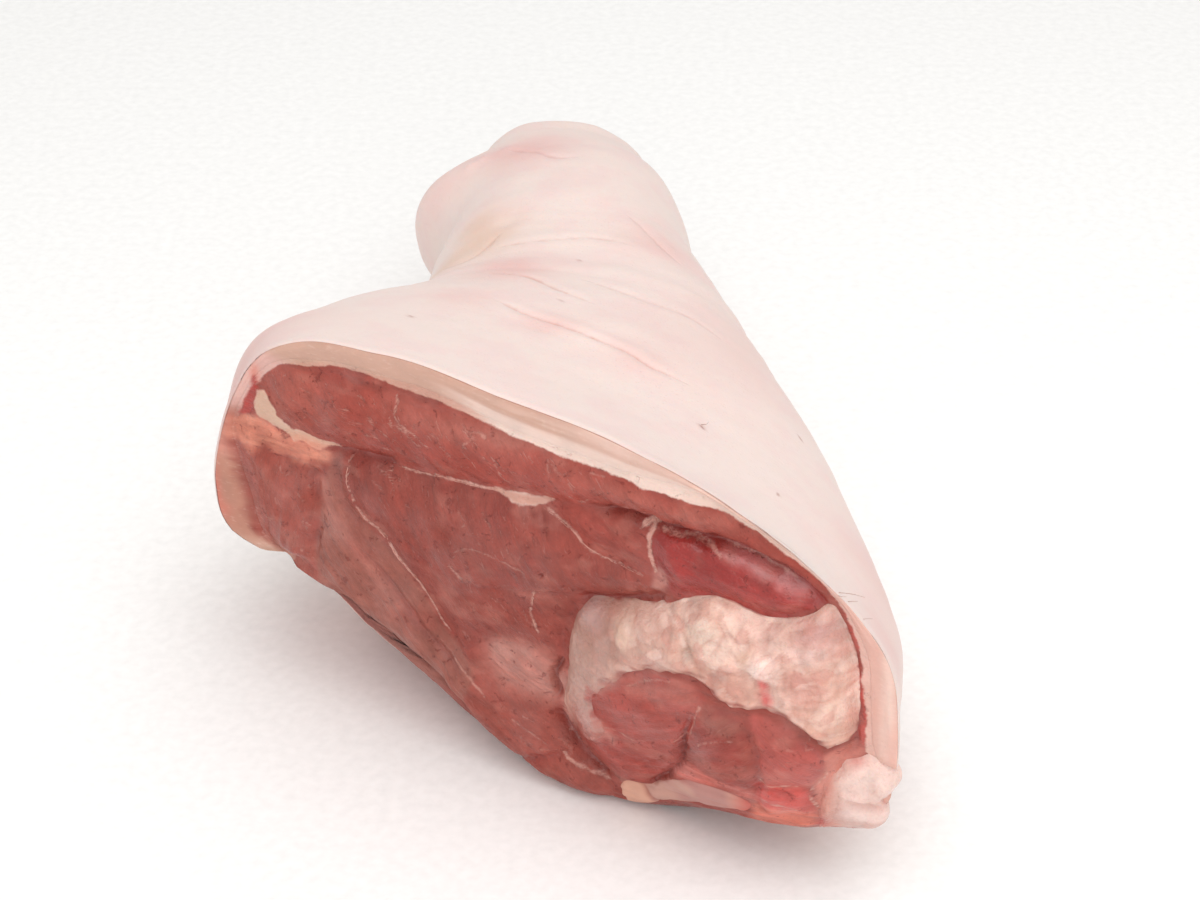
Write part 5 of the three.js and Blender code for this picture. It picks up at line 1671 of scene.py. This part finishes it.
def fat_lobe(finish):
    """The soft end of the flank's fat, folded over the right foot of the cut."""
    body = Body()
    middle = SWELL.on_face([LOBE["middle"]])[0]
    reach = reach_round(SWELL.on_face(LOBE["outline"]) - middle)
    turn = np.linspace(0, 2 * np.pi, 145)[:-1]
    share = np.sin(np.linspace(0, np.pi / 2, 44))[1:]
    share, turn = np.meshgrid(share, turn, indexing="ij")
    r = reach(turn) * share
    u, v = middle[0] + r * np.cos(turn), middle[1] + r * np.sin(turn)
    face, flat = cut_face(u, v), flat_points(u, v)
    right = smooth(u, middle[0] - 9, middle[0] + 5)
    puffed = np.sqrt(np.clip(1 - share**2, 0, 1))
    away, _ = to_line(flat[..., :2], SWELL.on_face(LOBE["groove"], -3))
    groove = bell(away / 2.2)
    ground = mix(face["height"], np.minimum(face["height"], -3), smooth(share, 0.55, 1) * right)
    swelling = (0.35 + 0.65 * right) * LOBE["swell"] * puffed + 0.9 * noise(flat, 6, 111) * puffed
    top = ground + swelling - 2.6 * groove * puffed * right + 0.3 * rough(flat, 3, 112) - 0.4
    bottom = ground - 0.5 - LOBE["depth"] * puffed

    def painted(tone, spots):
        for colour, strength, u0, v0, ru, rv in spots:
            place = SWELL.on_face([(u0, v0)])[0]
            tone = pasted(tone, colour, strength * spot(flat, *place, ru, rv))
        return tone

    tone = even_tone("lobe", u)
    tone = pasted(tone, "lobe_light", smooth(noise(flat, 7, 113) + right - 0.7, -0.2, 0.6))
    tone = painted(tone, LOBE["paint"])
    tone = pasted(tone, "lobe_left", 0.85 * (1 - smooth(u, middle[0] - 10, middle[0] - 2)))
    tone = painted(tone, LOBE["stains"])
    tone = pasted(tone, "lobe_groove", 0.5 * groove * right)
    streaky = noise(np.stack([u, v * 0.3, u * 0], -1), 1.5, 114)
    left_edge = (1 - right) * (1 - smooth((1 - share) * reach(turn) + 1.4 * streaky, 0.2, 4))
    tone = pasted(tone, face["tone"], 0.85 * left_edge)
    marks = {"tone": tone, "wet": np.clip(0.55 + 0.5 * noise(flat, 6, 115), 0, 1)}
    above = body.add(on_cut(u, v, np.maximum(top, bottom + 0.1)), **marks)
    below = body.add(on_cut(u, v, bottom)[:-1], **{k: x[:-1] for k, x in marks.items()})
    body.quads(above, closed=True)
    body.quads(np.vstack([below, above[-1:]])[::-1], closed=True)
    for row, height in ((above[0][::-1], top[0].mean()), (below[0], bottom[0].mean())):
        tip = body.add(on_cut(*middle, height)[None], tone=tone[0].mean(axis=0), wet=0.6)
        body.fan(row, tip[0])
    body.finish("fat_lobe_visual", finish, "fat", ["rind_and_fat"])


def shank_bone(finish):
    body = Body()
    turn = np.linspace(0, 2 * np.pi, 73)[:-1]
    k = SHANK_BONE
    profile = [(share, k["from"] + away) for share, away in k["back"]]
    profile += [(share, k["to"] - away) for share, away in k["sawn"]]
    rings = []
    for share, y in profile:
        wobble = share * (1 + 0.04 * np.cos(2 * turn + 0.6) + 0.03 * np.cos(3 * turn))
        p = np.stack([k["x"] + k["wide"] * wobble * np.cos(turn), np.full_like(turn, y),
                      k["z"] + k["high"] * wobble * np.sin(turn)], -1)
        if share < 0.7:
            p[:, 1] += 0.4 * noise(p, 2.5, 121)
        sawn = y > k["to"] - 3
        marrow = smooth(-share, -0.66, -0.56) if sawn else 0
        tone = mix(TONE["shank"], TONE["marrow"], marrow)
        rings.append(body.add(p, tone=tone, spongy=marrow + 0.15 if sawn else 0))
    body.quads(np.array(rings), closed=True)
    for row, y in ((rings[0][::-1], profile[0][1]), (rings[-1], profile[-1][1])):
        tip = body.add(np.array([[k["x"], y, k["z"]]]), tone=TONE["marrow"], spongy=1.0)
        body.fan(row, tip[0])
    body.finish("shank_bone_visual", finish, "bone", ["shank_bone"])


# ---- Strands and hairs, by Geometry Nodes -----------------------------


class Tree:
    """A Geometry Nodes tree with a mesh going in and a mesh coming out."""

    def __init__(self, name, **inputs):
        self.group = bpy.data.node_groups.new(name, "GeometryNodeTree")
        face = self.group.interface
        face.new_socket("Geometry", in_out="INPUT", socket_type="NodeSocketGeometry")
        face.new_socket("Geometry", in_out="OUTPUT", socket_type="NodeSocketGeometry")
        self.sockets = {}
        for key, kind in inputs.items():
            self.sockets[key] = face.new_socket(key, in_out="INPUT", socket_type=kind)
        self.inputs = {s.name: s for s in self.group.nodes.new("NodeGroupInput").outputs}

    def node(self, kind, settings=None, sockets=None):
        node = self.group.nodes.new(kind)
        for key, value in (settings or {}).items():
            setattr(node, key, value)
        for key, value in (sockets or {}).items():
            if isinstance(value, bpy.types.NodeSocket):
                self.group.links.new(value, node.inputs[key])
            else:
                node.inputs[key].default_value = value
        return node.outputs

    def finish(self, geometry):
        real = self.node("GeometryNodeRealizeInstances", None, {0: geometry})[0]
        done = self.node("GeometryNodeSetMaterial", None, {0: real, 2: self.inputs["Material"]})[0]
        out = self.group.nodes.new("NodeGroupOutput")
        self.group.links.new(done, out.inputs[0])

    def run(self, name, mesh, **values):
        """The tree's result on a mesh, as a mesh of its own."""
        piece = bpy.data.objects.new(name, mesh)
        bpy.context.scene.collection.objects.link(piece)
        modifier = piece.modifiers.new("nodes", "NODES")
        modifier.node_group = self.group
        for key, value in values.items():
            modifier[self.sockets[key].identifier] = value
        graph = bpy.context.evaluated_depsgraph_get()
        result = bpy.data.meshes.new_from_object(piece.evaluated_get(graph))
        result.polygons.foreach_set("use_smooth", [True] * len(result.polygons))
        bpy.data.objects.remove(piece)
        return result


def strand_tree():
    """Thin round strands along a mesh's edges, wandering a little and uneven in width."""
    tree = Tree("strands", Step="NodeSocketFloat", Wander="NodeSocketFloat",
                Uneven="NodeSocketFloat", Seed="NodeSocketInt", Material="NodeSocketMaterial")
    curve = tree.node("GeometryNodeMeshToCurve", None, {0: tree.inputs["Geometry"]})[0]
    curve = tree.node("GeometryNodeResampleCurve", {"mode": "LENGTH"}, {
        "Curve": curve, "Length": tree.inputs["Step"]})[0]
    place = tree.node("GeometryNodeInputPosition")[0]
    seed = tree.node("ShaderNodeMath", {"operation": "MULTIPLY"}, {0: tree.inputs["Seed"], 1: 9.7})[0]
    cloud = tree.node("ShaderNodeTexNoise", {"noise_dimensions": "4D"}, {
        "Vector": place, "W": seed, "Scale": 1 / (3 * MM), "Detail": 2.0})
    centred = tree.node("ShaderNodeVectorMath", {"operation": "SUBTRACT"}, {
        0: cloud["Color"], 1: (0.5, 0.5, 0.5)})[0]
    offset = tree.node("ShaderNodeVectorMath", {"operation": "SCALE"}, {
        0: centred, 3: tree.inputs["Wander"]})[0]
    curve = tree.node("GeometryNodeSetPosition", None, {"Geometry": curve, "Offset": offset})[0]
    width = tree.node("GeometryNodeInputNamedAttribute", {"data_type": "FLOAT"}, {0: "half_width"})[0]
    uneven = tree.node("ShaderNodeMapRange", None, {
        0: cloud[0], 1: 0.3, 2: 0.7, 3: tree.inputs["Uneven"], 4: 1.5})[0]
    width = tree.node("ShaderNodeMath", {"operation": "MULTIPLY"}, {0: width, 1: uneven})[0]
    ring = tree.node("GeometryNodeCurvePrimitiveCircle", None, {"Resolution": 7, "Radius": 1.0})[0]
    mesh = tree.node("GeometryNodeCurveToMesh", None, {
        "Curve": curve, "Profile Curve": ring, "Scale": width, "Fill Caps": True})[0]
    tree.finish(mesh)
    return tree


def line_mesh(lines):
    """A mesh of lines in metres, from (points in mm, half widths in mm)."""
    points, edges, widths = [], [], []
    for line, half in lines:
        first = len(points)
        points += in_metres(line).tolist()
        widths += list(np.broadcast_to(half, len(line)) * MM)
        edges += [(k, k + 1) for k in range(first, len(points) - 1)]
    mesh = bpy.data.meshes.new("lines")
    mesh.from_pydata(points, edges, [])
    mesh.attributes.new("half_width", "FLOAT", "POINT").data.foreach_set("value", widths)
    return mesh


def face_line(line, above):
    """A line given on the cut, lying on its surface."""
    u, v = along_line(SWELL.on_face(line), STRAND["points"]).T
    return on_cut(u, v, cut_face(u, v)["height"] + above)


def silver_strands(tree, finish):
    """The white seams that stand up from the meat as thin strands."""
    lines = []
    along = np.linspace(0, 1, STRAND["points"])
    taper = np.sin(mix(0.08, 0.92, along) * np.pi) ** 0.5
    for strength, start, end, line in SEAMS:
        if strength >= STRAND["least"]:
            half = np.minimum(mix(start, end, along), STRAND["widest"]) * taper * STRAND["share"]
            lines.append((face_line(line, -0.5 * half[len(half) // 2]), half))
    mesh = tree.run("silver_strands", line_mesh(lines), Step=0.7 * MM, Wander=1.3 * MM,
                    Uneven=0.1, Seed=3, Material=finish)
    placed("silver_strands", mesh, finish)


def hairs(tree, finish):
    """Short bristles where the skin was cut at the right, and one on the back."""
    rng = np.random.default_rng(11)
    lines = []
    for deg, at, count, spread in BRISTLES:
        for _ in range(count):
            theta = np.radians(deg + rng.normal(0, spread))
            root = surface(theta, at + abs(rng.normal(0, 0.006)))
            out = outward(root, np.array(at))
            lean = np.array([rng.normal(0.5, 0.45), rng.normal(-0.3, 0.45), rng.normal(0.1, 0.45)])
            tip = root + (0.7 * out + lean) * rng.uniform(2.5, 5)
            bend = 0.5 * (root + tip) + rng.normal(0, 0.4, 3)
            line = along_line([root - 0.4 * out, bend, tip], 8)
            lines.append((line, HAIR * np.linspace(1, 0.35, len(line))))
    mesh = tree.run("hairs", line_mesh(lines), Step=0.6 * MM, Wander=0.3 * MM, Uneven=0.9,
                    Seed=5, Material=finish)
    placed("hairs", mesh, finish)


# ---- Floor, light and camera ------------------------------------------


def stage():
    corners = [(x * FLOOR_HALF, y * FLOOR_HALF, 0) for x, y in ((-1, -1), (1, -1), (1, 1), (-1, 1))]
    mesh = bpy.data.meshes.new("floor")
    mesh.from_pydata(corners, [], [(0, 1, 2, 3)])
    mesh.materials.append(plain_finish("floor", 0.6))
    floor = bpy.data.objects.new("floor", mesh)
    bpy.context.scene.collection.objects.link(floor)

    world = bpy.data.worlds.new("studio")
    bpy.context.scene.world = world
    world.use_nodes = True
    background = world.node_tree.nodes["Background"]
    background.inputs["Color"].default_value = WORLD["colour"]
    background.inputs["Strength"].default_value = WORLD["strength"]
    for name, size, watts, place, aim in LIGHTS:
        light = bpy.data.lights.new(name, "AREA")
        light.size, light.energy = size, watts
        lamp = bpy.data.objects.new(name, light)
        lamp.location = place
        x, y, z = np.array(aim) - np.array(place)
        lamp.rotation_euler = (np.arctan2(np.hypot(x, y), -z), 0, np.arctan2(y, x) - np.pi / 2)
        bpy.context.scene.collection.objects.link(lamp)

    camera = bpy.data.cameras.new("camera")
    camera.lens, camera.sensor_width = CAMERA["lens"], CAMERA["sensor"]
    eye = bpy.data.objects.new("camera", camera)
    eye.location = in_metres(np.array(CAMERA["aim"]) + CAMERA["away"] * TO_CAMERA)
    eye.rotation_euler = (np.pi / 2 - ELEVATION, 0, 0)
    bpy.context.scene.collection.objects.link(eye)
    bpy.context.scene.camera = eye
    bpy.context.scene.view_settings.view_transform = "Standard"


# ---- The leg ----------------------------------------------------------

fat_finish = pad_finish()
bones = bone_finish()
lean_meat(meat_finish())
rind_and_fat(rind_finish())
knuckle_fat(fat_finish)
pelvic_bone(bones)
fat_lobe(fat_finish)
shank_bone(bones)
strand_nodes = strand_tree()
silver_strands(strand_nodes, plain_finish("silver", 0.5))
hairs(strand_nodes, plain_finish("bristle", 0.4))
stage()
